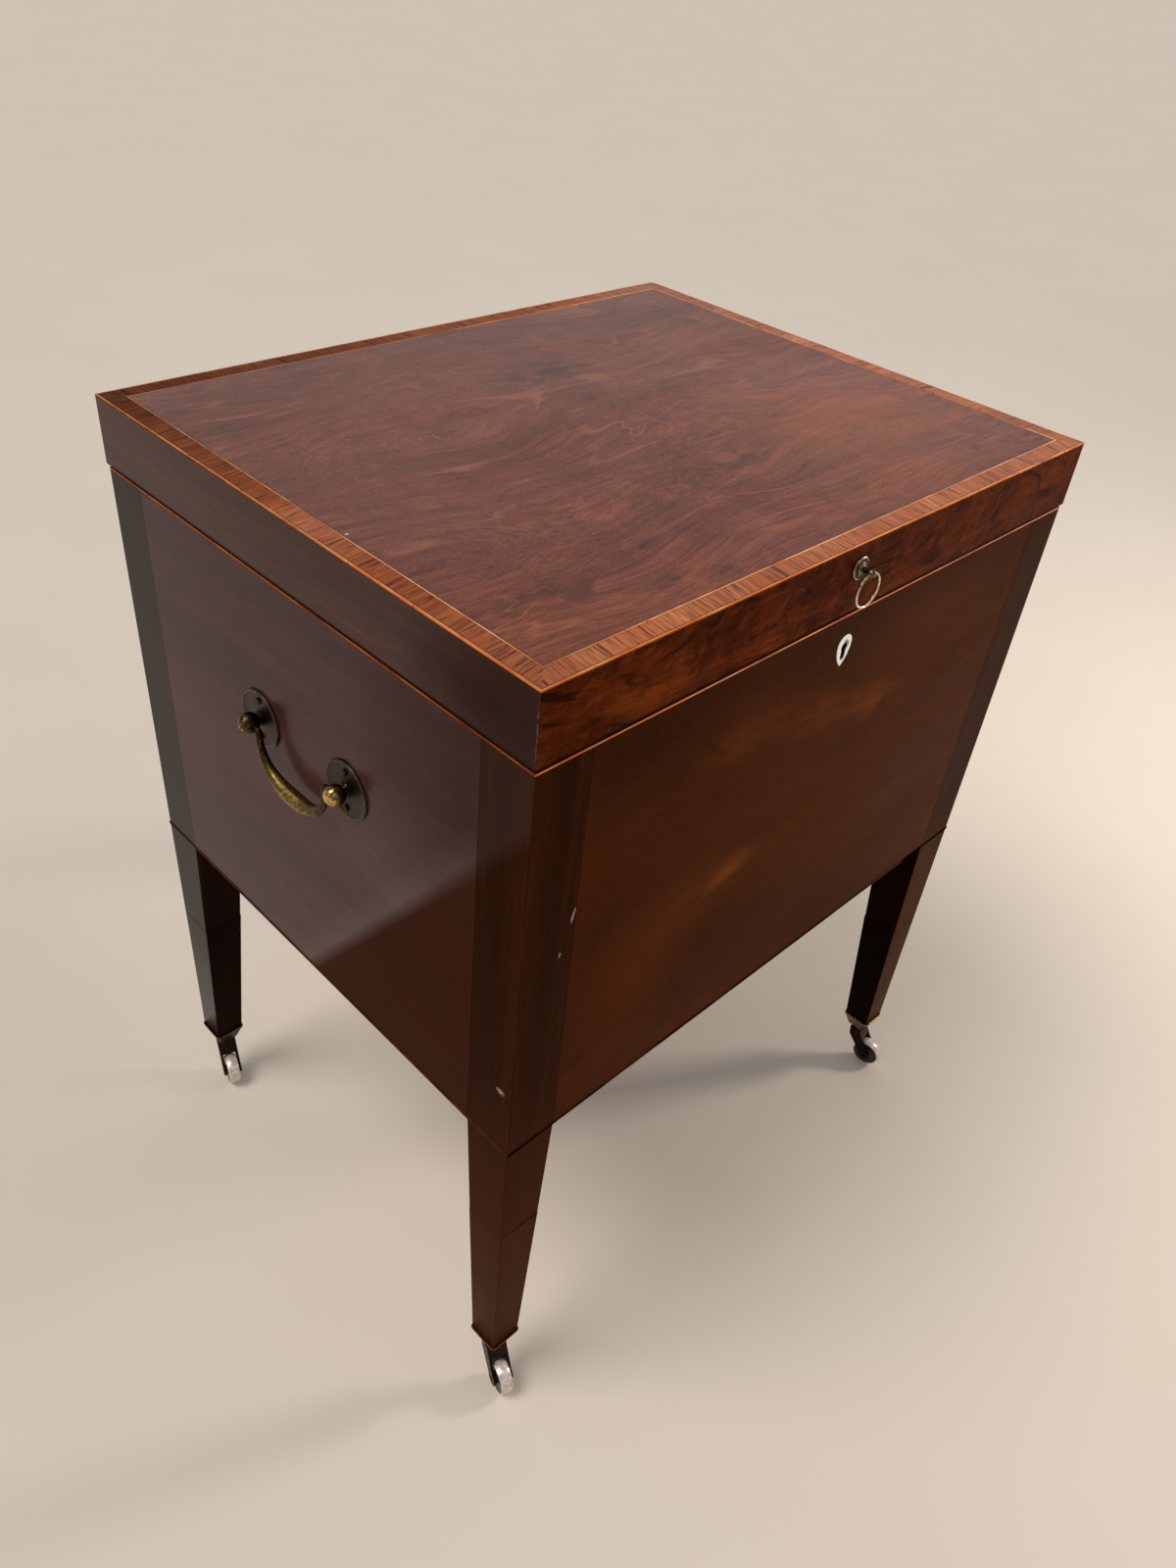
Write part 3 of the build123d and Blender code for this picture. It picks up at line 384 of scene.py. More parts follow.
def boxwood_finish(name, low, mid, high, faded, shaded_above=None):
    """Pale string, yellowed by polish, with dark joints, and long stretches lost under grime.
    Above a height it is painted nearly black, as painted shade on the top of the case's rim in the gap
    under the lid."""
    wood = Finish(name)
    cloud = wood.noise(wood.where, 45, 3)
    wood.colour = wood.ramp(cloud, (0.3, low), (0.5, mid), (0.7, high))
    lost = wood.spread(wood.noise(wood.where, 16, 3, 0.6), 0.44, 0.6)
    corner = wood.patch((-0.235, -0.19, 0.655), (0.07, 0.05, 0.05))
    wood.cover(wood.sum("MAXIMUM", lost, corner), faded, (128, 72, 44))
    joints = wood.spread(wood.noise(wood.where, 170, 2), 0.66, 0.72)
    wood.cover(joints, 0.7, (84, 42, 24))
    if shaded_above is not None:
        # Painted shade: the top of the rim, in the gap under the lid, is painted nearly black.
        height = wood.coordinate(2)
        top = wood.spread(height, shaded_above - 0.25 * MM, shaded_above - 0.05 * MM)
        wood.cover(top, 0.92, (20, 10, 8))
    return wood.done(0.34, IOR=1.15)


crossband_wood = crossband_finish()
rim_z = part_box("case_top_string")[1].z
pale_string = boxwood_finish("pale_string", (204, 116, 54), (244, 160, 90), (255, 196, 134), 0.7)
amber_string = boxwood_finish("amber_string", (204, 100, 42), (234, 134, 62), (250, 166, 92), 0.3)
rim_string = boxwood_finish("rim_string", (186, 84, 30), (226, 114, 48), (250, 150, 82), 0.4, rim_z)

# %% [markdown]
# Each face of the case was veneered from another log. The front is a flame veneer with orange
# glows painted into its figure in places. The sides are plainer: cool and pale above a leaning
# line, where the polish shines, and dark and warm below it, which is a painted reflection. The
# corner posts and legs are straight grained and darkest, and the back posts and three of the tips
# are darker still, which is painted shade. Scratches, stains and worn places lie where they are
# on the real one.

# %% Finishes for the case and the legs
lid_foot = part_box("lid_front_rail")[0].z
case_side = -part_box("left_panel")[0].x
case_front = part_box("front_panel")[0].y


def on_front(x, z, half_x, half_z, lean=0, deep=0.05):
    """A patch on the case's front: its centre, radii and turn, which is said in degrees."""
    return (x, case_front, z), (half_x, deep, half_z), (0, radians(lean), 0)


def painted_gap_shadow(wood):
    """Painted shadow on the lid's foot, just above the gap, for the dark line under the lid. Gives its
    mask.
    """
    foot = wood.below(lid_foot + 1.3 * MM)
    wood.cover(foot, 0.85, (14, 6, 3))
    return foot


def lid_front_finish():
    """Red brown curl with dark veins on the lid's front, with amber light painted at its left."""
    tones = (42, 11, 1), (74, 26, 3), (104, 44, 9)
    wood = Mahogany("lid_front_mahogany", "x", tones, 7.7, bands=24, flow=0.06,
                    weights=(0.6, 0.5, 0.4, 0.5))
    wood.curl(0.6, (118, 54, 14), (30, 8, 2))
    # Painted light: amber light painted into the curl at the left of the lid's front.
    wood.painted_glow(0.42, (150, 70, 20), (-0.185, -0.207, 0.625), (0.07, 0.04, 0.026), (0, radians(12), 0))
    wood.veins(0.8, (22, 7, 3), (10, 50, 50), 0.03)
    wood.veins(0.5, (22, 7, 3), (24, 120, 120), 0.03)
    # Painted shadow of the gap under the lid, on the lid's foot.
    painted_gap_shadow(wood)
    return wood.polished(gloss=0.22)


def rail_finish(name, grain, shift):
    """The lid's other three edges. The near corner of the left one is darker, with less polish, and a
    painted highlight runs down its edge.
    """
    tones = (44, 21, 17), (62, 31, 25), (88, 46, 34)
    wood = Mahogany(name, grain, tones, shift, bands=30, flow=0.05, weights=(0.6, 0.4, 0.3, 0.2))
    wood.mark(0.75, (36, 18, 14), (-0.255, -0.18, 0.63), (0.03, 0.09, 0.05))
    wood.veins(0.2, (26, 11, 9), (8, 44, 44), 0.03)
    # Painted highlight: a thin pale line down the near corner's edge.
    wood.mark(0.5, (112, 84, 76), (-0.2555, -0.2065, 0.632), (0.002, 0.0012, 0.022), soft=0.5, broken=400)
    # Painted shadow of the gap under the lid, on the lid's foot.
    foot = painted_gap_shadow(wood)
    near = wood.patch((-0.255, -0.19, 0.63), (0.04, 0.09, 0.05), soft=0.3)
    shine = wood.shine_less(0.38, wood.spread(near, 0, 0.9), foot)
    return wood.polished(IOR=1.14, Coat_Weight=shine, Coat_Roughness=0.2)


def front_finish():
    """The case's front: nearly black brown at the top, with amber glows painted in two places."""
    tones = (48, 18, 3), (66, 28, 5), (84, 40, 11)
    wood = Mahogany("front_mahogany", "x", tones, 11.3, bands=7, flow=0.06,
                    weights=(0.7, 0.25, 0.14, 0.08))
    dark, amber = (46, 19, 4), (134, 70, 18)
    wood.mark(0.8, dark, *on_front(-0.17, 0.585, 0.11, 0.06))
    wood.mark(0.5, dark, *on_front(0, 0.345, 0.20, 0.05, 6))
    wood.mark(0.7, (44, 18, 3), *on_front(0.09, 0.6, 0.2, 0.07))
    wood.mark(0.4, (96, 44, 14), *on_front(0.10, 0.57, 0.10, 0.05, 10))
    wood.mark(0.35, (98, 46, 12), *on_front(-0.155, 0.40, 0.06, 0.07))
    # Painted light: amber glows painted into the figure in two places.
    for amount, x, z, lean in ((0.3, -0.085, 0.552, -4), (0.42, -0.015, 0.540, 12),
                               (0.5, 0.055, 0.522, 16)):
        wood.painted_glow(amount, amber, *on_front(x, z, 0.06, 0.02, lean))
    wood.painted_glow(0.6, (140, 74, 20), *on_front(-0.073, 0.443, 0.03, 0.017, -12))
    wood.painted_glow(0.28, amber, *on_front(-0.11, 0.44, 0.06, 0.035))
    wood.fleck(0.16, (96, 48, 16), (120, 500, 500), 0.5, 0.7)
    # Painted shade: the keyhole through the front panel, behind the bone shield, is painted nearly black.
    wood.mark(1, (8, 4, 3), (0, -0.200, 0.579), (0.008, 0.007, 0.014), soft=0.8)
    return wood.polished()


def side_finish():
    """The case's sides: horizontal grain and quiet figure, painted dark and warm below a leaning line as
    a reflection, with a painted pale sheen just above the line.
    """
    tones = (48, 25, 26), (64, 35, 36), (84, 47, 44)
    wood = Mahogany("side_mahogany", "y", tones, 13.7, bands=12, flow=0.045, weights=(0.6, 0.4, 0.2, 0.1))
    wood.mark(0.25, (104, 72, 60), (0, -0.05, 0.47), (3, 0.13, 0.06), (radians(-12), 0, 0))
    wood.veins(0.3, (104, 74, 60), (3, 14, 14), 0.004)
    # Painted reflection: below the leaning line the side is painted dark and warm, and a narrow band just
    # above the line is painted as a pale sheen.
    warm = wood.dark_reflection_part()
    edge = wood.sum("SUBTRACT", wood.dark_reflection_part(24 * MM, 12 * MM), warm)
    wood.cover(edge, 0.1, (140, 122, 118))
    wood.cover(warm, 0.9, (56, 23, 5))
    near = wood.patch((0, -0.19, 0.57), (3, 0.14, 0.15), soft=0.3)
    near = wood.spread(near, 0, 1.3)
    wood.cover(near, 0.4, (62, 44, 32))
    shine = wood.shine_less(0.5, warm, near)
    return wood.polished(Coat_Weight=shine, Coat_Roughness=0.2)


def back_finish():
    """The back was made to face a wall: plain boards, less polish."""
    tones = (46, 22, 15), (70, 34, 22), (92, 47, 29)
    wood = Mahogany("back_mahogany", "x", tones, 23.9, bands=14, weights=(0.8, 0.5, 0.3, 0.1))
    return wood.polished(gloss=0.45, IOR=1.25)


def leg_finish(name, shift, side_shine, *tones):
    """Straight grain along the post. The front left one has two pale scratches, a stain and a dark
    splice, and the front right one has painted shade on its inside face and painted light on its
    front. Above the leaning line the outer side shines by side_shine."""
    wood = Mahogany(name, "z", tones, shift, bands=50, flow=0.012, weights=(0.7, 0.4, 0.3, 0.08))
    wood.mark(0.8, (66, 30, 8), (-0.24, -0.19, 0.20), (0.06, 0.06, 0.17), soft=0.3)
    for x, z, half_z, lean in ((-0.217, 0.492, 6.5 * MM, 14), (-0.2248, 0.4657, 2.2 * MM, 0)):
        wood.mark(0.9, (206, 192, 176), *on_front(x, z, 1.2 * MM, half_z, lean, 4 * MM),
                  soft=0.3, broken=700)
    wood.mark(0.9, (196, 182, 164), (-0.254, -0.196, 0.3595), (0.004, 0.0045, 0.003),
              soft=0.3, broken=1500)
    # The front right leg: painted shade on its inside face and painted light on its front face.
    front = wood.beyond(1, -case_front)
    right = wood.patch((0.205, -0.185, 0.15), (0.045, 0.06, 0.25), soft=0.9)
    painted_inner_shade = wood.sum("MAXIMUM", wood.sum("SUBTRACT", right, front), 0)
    wood.cover(painted_inner_shade, 0.85, (14, 5, 2))
    lit = wood.patch((0.23, -0.2065, 0.1), (0.05, 0.03, 0.24), soft=0.8)
    wood.cover(wood.sum("MULTIPLY", front, lit), 0.85, (67, 34, 6))
    for x, z, half_x, half_z in ((-0.232, 0.2083, 18, 1), (-0.222, 0.2068, 6, 2.6)):
        splice = on_front(x, z, half_x * MM, half_z * MM, deep=4 * MM)
        wood.mark(0.9, (14, 6, 3), *splice, soft=0.5)
    side = wood.sum("MULTIPLY", wood.beyond(0, case_side), side_shine)
    shine = wood.shine_less(side, wood.dark_reflection_part())
    return wood.polished(gloss=0.28, Coat_Weight=shine, Coat_Roughness=0.2)


lid_front_mahogany = lid_front_finish()
lid_side_mahogany = rail_finish("lid_side_mahogany", "y", 5.9)
lid_back_mahogany = rail_finish("lid_back_mahogany", "x", 6.3)
front_mahogany = front_finish()
side_mahogany = side_finish()
back_mahogany = back_finish()
# The back posts and three of the tips get darker copies of the leg finish, which are painted shade.
post_mahogany = leg_finish("post_mahogany", 17.1, 0.2, (35, 13, 3), (46, 18, 3), (61, 27, 7))
shaded_back_post_mahogany = leg_finish("shaded_back_post_mahogany", 53.9, 0.42,
                                (24, 12, 10), (32, 17, 14), (44, 24, 20))
tip_mahogany = leg_finish("tip_mahogany", 29.3, 0, (46, 20, 4), (62, 28, 7), (80, 40, 13))
shaded_tip_mahogany = leg_finish("shaded_tip_mahogany", 41.9, 0.42, (18, 8, 5), (26, 11, 7), (38, 17, 10))

# %% [markdown]
# Inside, the wood was only waxed. The bone shield of the keyhole is the one white thing on the
# piece. Brass darkens everywhere but where it is touched, so its colour follows an attribute
# named rub, which each turned or cast piece brings with it, and a cloud that breaks it up.

# %% Finishes for the inside, the bead, bone, iron and brass
def inner_finish():
    """Waxed, unpolished wood of the dividers and the inside of the lid."""
    tones = (92, 54, 33), (124, 78, 48), (150, 98, 62)
    wood = Mahogany("inner_wood", "x", tones, 31.7, flow=0.02, weights=(0.8, 0.5, 0.3, 0.05))
    return wood.polished(gloss=0.55, IOR=1.3)


def bead_finish():
    """Dark strip let in round the case's foot."""
    tones = (40, 19, 11), (60, 31, 17), (90, 50, 29)
    return Mahogany("bead_wood", "x", tones, 37.1, bands=50).polished()


def bone_finish():
    """Polished bone, yellow in its hollows, with painted shade round the keyhole and inside it."""
    bone = Finish("bone")
    cloud = bone.noise(bone.where, 330, 3)
    bone.colour = bone.ramp(cloud, (0.3, (246, 236, 222)), (0.6, (255, 251, 245)))
    flecks = bone.spread(bone.noise(bone.where, 2400, 2), 0.66, 0.74)
    bone.cover(flecks, 0.4, (120, 92, 62))
    low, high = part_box("escutcheon")
    keyhole_z = high.z - 8.7 * MM
    ragged = bone.spread(bone.noise(bone.where, 700, 3), 0.3, 0.5)
    # Painted shade round the keyhole, ragged at its edge, which widens its dark.
    for x, z, half_x, half_z in ((1, 1.6, 3.8, 4.6), (0.4, -5, 2.6, 5.6)):
        darkening = bone.patch((x * MM, low.y, keyhole_z + z * MM),
                           (half_x * MM, 4 * MM, half_z * MM), soft=0.6)
        bone.cover(darkening, ragged, (36, 24, 18))
    # Painted shade: the keyhole's walls inside the bone are painted nearly black.
    inside = bone.spread(bone.coordinate(1), low.y + 0.3 * MM, low.y + 0.7 * MM)
    bone.cover(inside, 1, (18, 10, 8))
    return bone.done(0.32, Subsurface_Weight=0.1, Subsurface_Scale=2 * MM)


def iron_finish():
    """Dull iron of the screws and nuts."""
    iron = Finish("iron")
    rust = iron.spread(iron.noise(iron.where, 900, 4), 0.45, 0.65)
    iron.colour = iron.mix(rust, (92, 88, 84), (70, 46, 34))
    return iron.done(iron.spread(rust, 0, 1, 0.4, 0.7), Metallic=0.85)


def brass_finish(name, dark, mid, bright, mottle=1):
    """Old brass. The attribute rub, 0 in a corner and 1 on a high place, says how bright it is."""
    brass = Finish(name)
    rub = brass.add("Attribute", {}, attribute_name="rub").outputs["Fac"]
    cloud = brass.noise(brass.where, 420, 4, 0.6)
    fine = brass.noise(brass.where, 2600, 3, 0.6)
    worn = brass.sum("SUBTRACT", rub, 0.12)
    for layer, weight in ((cloud, mottle), (fine, 0.25)):
        worn = brass.sum("MULTIPLY_ADD", brass.sum("SUBTRACT", layer, 0.5), weight, worn)
    share = brass.spread(worn, -0.1, 0.75)
    brass.colour = brass.ramp(share, (0, dark), (0.45, mid), (1, bright))
    roughness = brass.spread(share, 0, 1, 0.42, 0.2)
    normal = brass.bump(fine, 0.03 * MM, 0.6, brass.bump(cloud, 0.12 * MM, 0.5))
    return brass.done(roughness, normal, Metallic=1)


def wheel_finish():
    """A wheel: sides dark with grime, tread worn pale and bright."""
    wheel = Finish("castor_wheel")
    rub = wheel.add("Attribute", {}, attribute_name="rub").outputs["Fac"]
    cloud = wheel.noise(wheel.where, 300, 4, 0.6)
    fine = wheel.noise(wheel.where, 1600, 3)
    worn = wheel.sum("ADD", rub, wheel.sum("MULTIPLY_ADD", cloud, 0.5, -0.25))
    pale = wheel.mix(wheel.spread(cloud, 0.4, 0.65), (196, 178, 168), (238, 226, 210))
    wheel.colour = wheel.mix(wheel.spread(worn, 0.2, 0.75), (52, 42, 36), pale)
    wheel.cover(wheel.spread(fine, 0.62, 0.72), 0.35, (104, 82, 70))
    roughness = wheel.spread(cloud, 0.3, 0.7, 0.25, 0.4)
    return wheel.done(roughness, wheel.bump(fine, 0.04 * MM, 0.5), Metallic=0.35)


inner_wood = inner_finish()
bead_wood = bead_finish()
bone = bone_finish()
iron = iron_finish()
old_brass = brass_finish("old_brass", (30, 23, 17), (96, 76, 40), (236, 196, 124), 1.7)
bail_brass = brass_finish("bail_brass", (36, 27, 16), (112, 90, 44), (230, 194, 124), 0.9)
rose_brass = brass_finish("rose_brass", (60, 48, 44), (76, 62, 54), (214, 184, 150))
castor_brass = brass_finish("castor_brass", (34, 25, 17), (100, 64, 30), (222, 170, 100))
pull_brass = brass_finish("pull_brass", (36, 28, 20), (112, 94, 66), (232, 216, 188), 1.3)
castor_wheel = wheel_finish()

# %% [markdown]
# The boards, posts and plates have the right shape already, but a computer's edge is sharp
# and no real edge is. Each gets a merged copy of its own mesh with a Bevel as small as
# the wear: a quarter of a millimetre where two boards meet flush, which also draws the thin
# joint lines of the real case, and more on corners that hands and knees have rubbed. The copy
# stands for the node, so every mortise, screw hole and mitre stays where the model has it.

# %% A board with eased edges
def shown(name, mesh):
    """A piece in the scene, made of a mesh and smooth across its faces."""
    mesh.polygons.foreach_set("use_smooth", np.ones(len(mesh.polygons), dtype=bool))
    return linked(name, mesh)


def settled(piece, finish, node):
    """Gives a piece its finish and its body, and hides the node that it stands for."""
    piece.data.materials.clear()
    piece.data.materials.append(finish)
    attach(piece, home[node])
    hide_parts(node)
    return piece


def eased(node, ease, finish, segments=2):
    """A merged copy of a node, its flat faces joined, with a Bevel of ease millimetres."""
    mesh = frame["nodes"][node].data.copy()
    for layer in ("custom_normal", "sharp_edge"):
        if layer in mesh.attributes:
            mesh.attributes.remove(mesh.attributes[layer])
    work = bmesh.new()
    work.from_mesh(mesh)
    bmesh.ops.remove_doubles(work, verts=work.verts, dist=0.002 * MM)
    bmesh.ops.dissolve_limit(work, angle_limit=radians(0.5), verts=work.verts, edges=work.edges)
    work.to_mesh(mesh)
    work.free()
    piece = shown(node + "_eased", mesh)
    bevel = piece.modifiers.new("eased_edges", "BEVEL")
    bevel.width = ease * MM
    bevel.segments = segments
    bevel.limit_method = "ANGLE"
    bevel.angle_limit = radians(35)
    bevel.harden_normals = True
    return settled(piece, finish, node)


# %% The case, board by board
case_boards = {"front_panel": front_mahogany, "left_panel": side_mahogany,
               "right_panel": side_mahogany, "back_panel": back_mahogany}
for node, finish in case_boards.items():
    eased(node, 0.22, finish)
corner_names = ("front_left", "front_right", "back_left", "back_right")
for corner in corner_names:
    finish = shaded_back_post_mahogany if "back" in corner else post_mahogany
    eased("corner_post_" + corner, 0.5, finish)
    finish = tip_mahogany if corner == "front_left" else shaded_tip_mahogany
    eased("leg_tip_" + corner, 0.6, finish)
eased("case_bottom_bead", 0.35, bead_wood)
eased("case_top_string", 0.2, rim_string)
print("case: 4 panels, 4 posts, 4 spliced tips, bead and string")

# %% The inside of the case
for node in ("bottom_board", "long_dividers", "cross_dividers"):
    eased(node, 0.5, inner_wood)
print("inside: bottom and bottle divisions")

# %% The lid
lid_rails = {"lid_front_rail": lid_front_mahogany, "lid_left_rail": lid_side_mahogany,
             "lid_right_rail": lid_side_mahogany, "lid_back_rail": lid_back_mahogany}
for node, finish in lid_rails.items():
    eased(node, 0.3, finish)
eased("lid_top_board", 0.2, inner_wood)
eased("lid_field_veneer", 0.08, field_mahogany)
eased("lid_inner_string", 0.06, pale_string)
eased("lid_outer_string", 0.4, amber_string, segments=3)
print("lid: four rails, board, field and strings")


# %% The crossband, with u and v along and across each strip
def read(rows, key, kind=float, width=1):
    """One property of all rows of a mesh, as an array with a row for each."""
    values = np.empty(len(rows) * width, dtype=kind)
    rows.foreach_get(key, values)
    return values.reshape(-1, width)


def strip_uv(piece, half_width, half_depth):
    """u is the distance along a strip and v the distance in from the lid's edge. Each strip's u
    starts at another number, so that no two look alike."""
    mesh = piece.data
    corners = read(mesh.loops, "vertex_index", int)[:, 0]
    counts = read(mesh.polygons, "loop_total", int)[:, 0]
    x, y = read(mesh.vertices, "co", width=3)[corners, :2].T
    middle_x, middle_y = np.repeat(read(mesh.polygons, "center", width=3), counts, axis=0)[:, :2].T
    on_side = half_width - abs(middle_x) < half_depth - abs(middle_y)
    along = np.where(on_side, y + np.sign(middle_x), x + 3 * np.sign(middle_y))
    across = np.where(on_side, half_width - abs(x), half_depth - abs(y))
    layer = mesh.uv_layers.new(name="strip")
    layer.data.foreach_set("uv", np.stack([along, across], axis=1).ravel())


band = eased("lid_crossbanding", 0.06, crossband_wood)
lid_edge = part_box("lid_outer_string")[1]
strip_uv(band, lid_edge.x, lid_edge.y)
print("crossband: four strips, inside an edge of", round(2 * lid_edge.x / MM), "mm")

# %% The escutcheon
eased("escutcheon", 0.25, bone, segments=3)
print("escutcheon: bone shield")

# %% [markdown]
# Turned and cast brass is round in section, so it is made from formulas. A turned piece is a
# profile carried round an axis. A handle or a ring is a circle carried along a line. Both
# are grids of points, so one helper can turn them into a mesh: it numbers the corners of
# every face of a grid as whole arrays, merges the points that meet at a pole, and lets the
# faces look outwards. A third number beside each radius and height is how bright use has
# rubbed that place. It becomes the attribute rub, which the brass reads.

# %% Grids into pieces
def quads(rows, columns, closed_rows):
    """Corner numbers of the faces between neighbouring points. Columns always close."""
    row = np.arange(rows if closed_rows else rows - 1)[:, None]
    column = np.arange(columns)[None, :]
    below, beside = (row + 1) % rows, (column + 1) % columns
    corners = (row * columns + column, row * columns + beside,
               below * columns + beside, below * columns + column)
    return np.stack(corners, axis=-1).reshape(-1, 4)


def grid_piece(name, node, finish, *grids, slot="old_brass", closed=False):
    """A node made anew from grids of x, y, z and rub. closed joins a grid's last row to its first."""
    points, faces, start = [], [], 0
    for grid in grids:
        faces.append(quads(*grid.shape[:2], closed) + start)
        points.append(grid.reshape(-1, 4))
        start += points[-1].shape[0]
    points = np.concatenate(points)
    mesh = bpy.data.meshes.new(name)
    mesh.from_pydata(points[:, :3], [], np.concatenate(faces))
    mesh.attributes.new("rub", "FLOAT", "POINT").data.foreach_set("value", points[:, 3])
    work = bmesh.new()
    work.from_mesh(mesh)
    bmesh.ops.remove_doubles(work, verts=work.verts, dist=0.001 * MM)
    bmesh.ops.recalc_face_normals(work, faces=work.faces)
    work.to_mesh(mesh)
    work.free()
    print("made:", name, "with", len(mesh.polygons), "faces")
    return settled(shown(name, mesh), finish, node)


def softened(profile, reach, steps=4):
    """Rounds each corner c of a profile, from a before it to b after it, along the curve
    (1-t)^2 a + 2t(1-t) c + t^2 b."""
    corner, before, after = profile[1:-1], profile[:-2], profile[2:]
    back = np.linalg.norm((before - corner)[:, :2], axis=1, keepdims=True)
    forth = np.linalg.norm((after - corner)[:, :2], axis=1, keepdims=True)
    start = corner + (before - corner) * np.minimum(reach / back, 0.45)
    end = corner + (after - corner) * np.minimum(reach / forth, 0.45)
    t = np.linspace(0, 1, steps)[None, :, None]
    curve = (1 - t) ** 2 * start[:, None] + 2 * t * (1 - t) * corner[:, None] + t ** 2 * end[:, None]
    return np.concatenate([profile[:1], curve.reshape(-1, 3), profile[-1:]])


def in_mm(rows, reach, steps=4):
    """A profile (r, h, rub) and the reach of its rounding, both said in millimetres."""
    return softened(np.array(rows) * (MM, MM, 1), reach * MM, steps)


def turned(profile, sides=64, square=2.0):
    """Carries (r, h, rub) round an axis. The way round is |cos|^n + |sin|^n = 1: 2 is a circle."""
    angle = np.linspace(0, 2 * np.pi, sides, endpoint=False) + np.pi / sides
    c, s = np.cos(angle), np.sin(angle)
    scale = (abs(c) ** square + abs(s) ** square) ** (-1 / square)
    r, h, rub = profile[:, 0:1], profile[:, 1:2], profile[:, 2:3]
    return np.stack([r * c * scale, r * s * scale, h + 0 * angle, rub + 0 * angle], axis=-1)


def placed(grid, origin, axis, side):
    """Stands a grid's own z along an axis and its x along a side, from an origin."""
    z, x = np.array(axis, float), np.array(side, float)
    basis = np.stack([x, np.cross(z, x), z])
    moved = grid.copy()
    moved[..., :3] = grid[..., :3] @ basis + np.array(origin)
    return moved


def arc(radius, height, start, end, rub, steps=20):
    """Points (r, h, rub) of a ball's outline, from one angle below the equator to another above."""
    angle = np.radians(np.linspace(start, end, steps))
    return np.stack([radius * np.cos(angle), height + radius * np.sin(angle), rub + 0 * angle], axis=1)


def swept(path, radius, rub, flat_to, sides=32, closed=False):
    """A circle of changing radius, carried square to a line that lies in a plane."""
    if closed:
        ahead = np.roll(path, -1, axis=0) - np.roll(path, 1, axis=0)
    else:
        ahead = np.gradient(path, axis=0)
    ahead /= np.linalg.norm(ahead, axis=1, keepdims=True)
    up = np.array(flat_to, float)
    side = np.cross(ahead, up)
    angle = np.linspace(0, 2 * np.pi, sides, endpoint=False)[None, :, None]
    ring = np.cos(angle) * up + np.sin(angle) * side[:, None]
    grid = path[:, None] + radius[:, None, None] * ring
    return np.concatenate([grid, np.broadcast_to(rub[:, None, None], grid.shape[:2] + (1,))], axis=-1)


# %% [markdown]
# A side handle is three castings: two roses, two posts that end in a ball, and the bail, which
# swings on pins in the balls. The bail is thin where it turns and thick where four fingers
# lift it, and that belly is the one place where the brass still shines.

# %% Sizes of the side handles
roses_low, roses_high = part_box("left_handle_roses")
rose_r = (roses_high.z - roses_low.z) / 2
handle_y = (roses_high.y + roses_low.y) / 2
handle_z = (roses_high.z + roses_low.z) / 2
post_y = roses_high.y - rose_r - handle_y
posts_low, posts_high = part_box("left_handle_posts")
ball_top = -posts_low.x - case_side
ball_r = (posts_high.z - posts_low.z) / 2
shank_end = case_side + posts_high.x
bail_low, bail_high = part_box("left_bail")
grip_r = (bail_high.x - bail_low.x) / 2
bail_drop = handle_z - bail_low.z - grip_r
bail_half = post_y - ball_r - 3.2 * MM
arm_r = 2.3 * MM
pin_r = 1.75 * MM
print("handle: posts", round(2 * post_y / MM, 1), "mm apart, ball", round(2 * ball_r / MM, 1), "mm")


# %% Roses and posts
def rose_profile():
    """A flat plate with a raised thread near its edge."""
    return in_mm([(0, 0, 0), (20, 0, 0), (20, 1.1, 0.05), (19.3, 1.9, 0.42), (18.6, 2.0, 0.25),
                  (17.9, 1.6, 0.0), (7.2, 1.6, 0.05), (6.6, 1.9, 0.1), (0, 1.9, 0.0)], 0.35)


def post_profile():
    """Shank, collar, neck and ball. Heights are from the case's face."""
    inside = -shank_end / MM
    low = in_mm([(0, inside, 0), (3, inside, 0), (3, 0, 0), (5.6, 1.6, 0.0), (5.2, 2.6, 0.05),
                 (3.6, 3.1, 0.0)], 0.4)
    ball = arc(ball_r, ball_top - ball_r, -58, 90, 0.0)
    ball[:, 2] = np.linspace(-0.1, 0.85, len(ball))
    return np.concatenate([low, ball])


def handle_grids(profile, side, darkening=0.0):
    """The same turned shape at the front and the back post of one side, the back one darker."""
    grids = []
    for way in (-1, 1):
        foot = (side * case_side, handle_y + way * post_y, handle_z)
        grid = placed(turned(profile), foot, (side, 0, 0), (0, 1, 0))
        grid[..., 3] -= darkening * (way + 1) / 2
        grids.append(grid)
    return grids


for name, side in (("left", -1), ("right", 1)):
    roses = handle_grids(rose_profile(), side)
    grid_piece(name + "_roses_turned", name + "_handle_roses", rose_brass, *roses)
    posts = handle_grids(post_profile(), side, darkening=0.35)
    grid_piece(name + "_posts_turned", name + "_handle_posts", old_brass, *posts)


# %% Bails
def even_line(corners, step, reach):
    """Points at even steps along a line, averaged over a short reach, which rounds its corners."""
    gaps = np.linalg.norm(np.diff(corners, axis=0), axis=1)
    place = np.concatenate([[0], np.cumsum(gaps)])
    steps = np.linspace(0, place[-1], int(place[-1] / step))
    line = np.stack([np.interp(steps, place, corners[:, k]) for k in range(3)], axis=1)
    width = int(reach / step)
    padded = np.pad(line, ((width, width), (0, 0)), mode="reflect", reflect_type="odd")
    window = np.hanning(2 * width + 3)[1:-1]
    window /= window.sum()
    return np.stack([np.convolve(padded[:, k], window, mode="valid") for k in range(3)], axis=1)


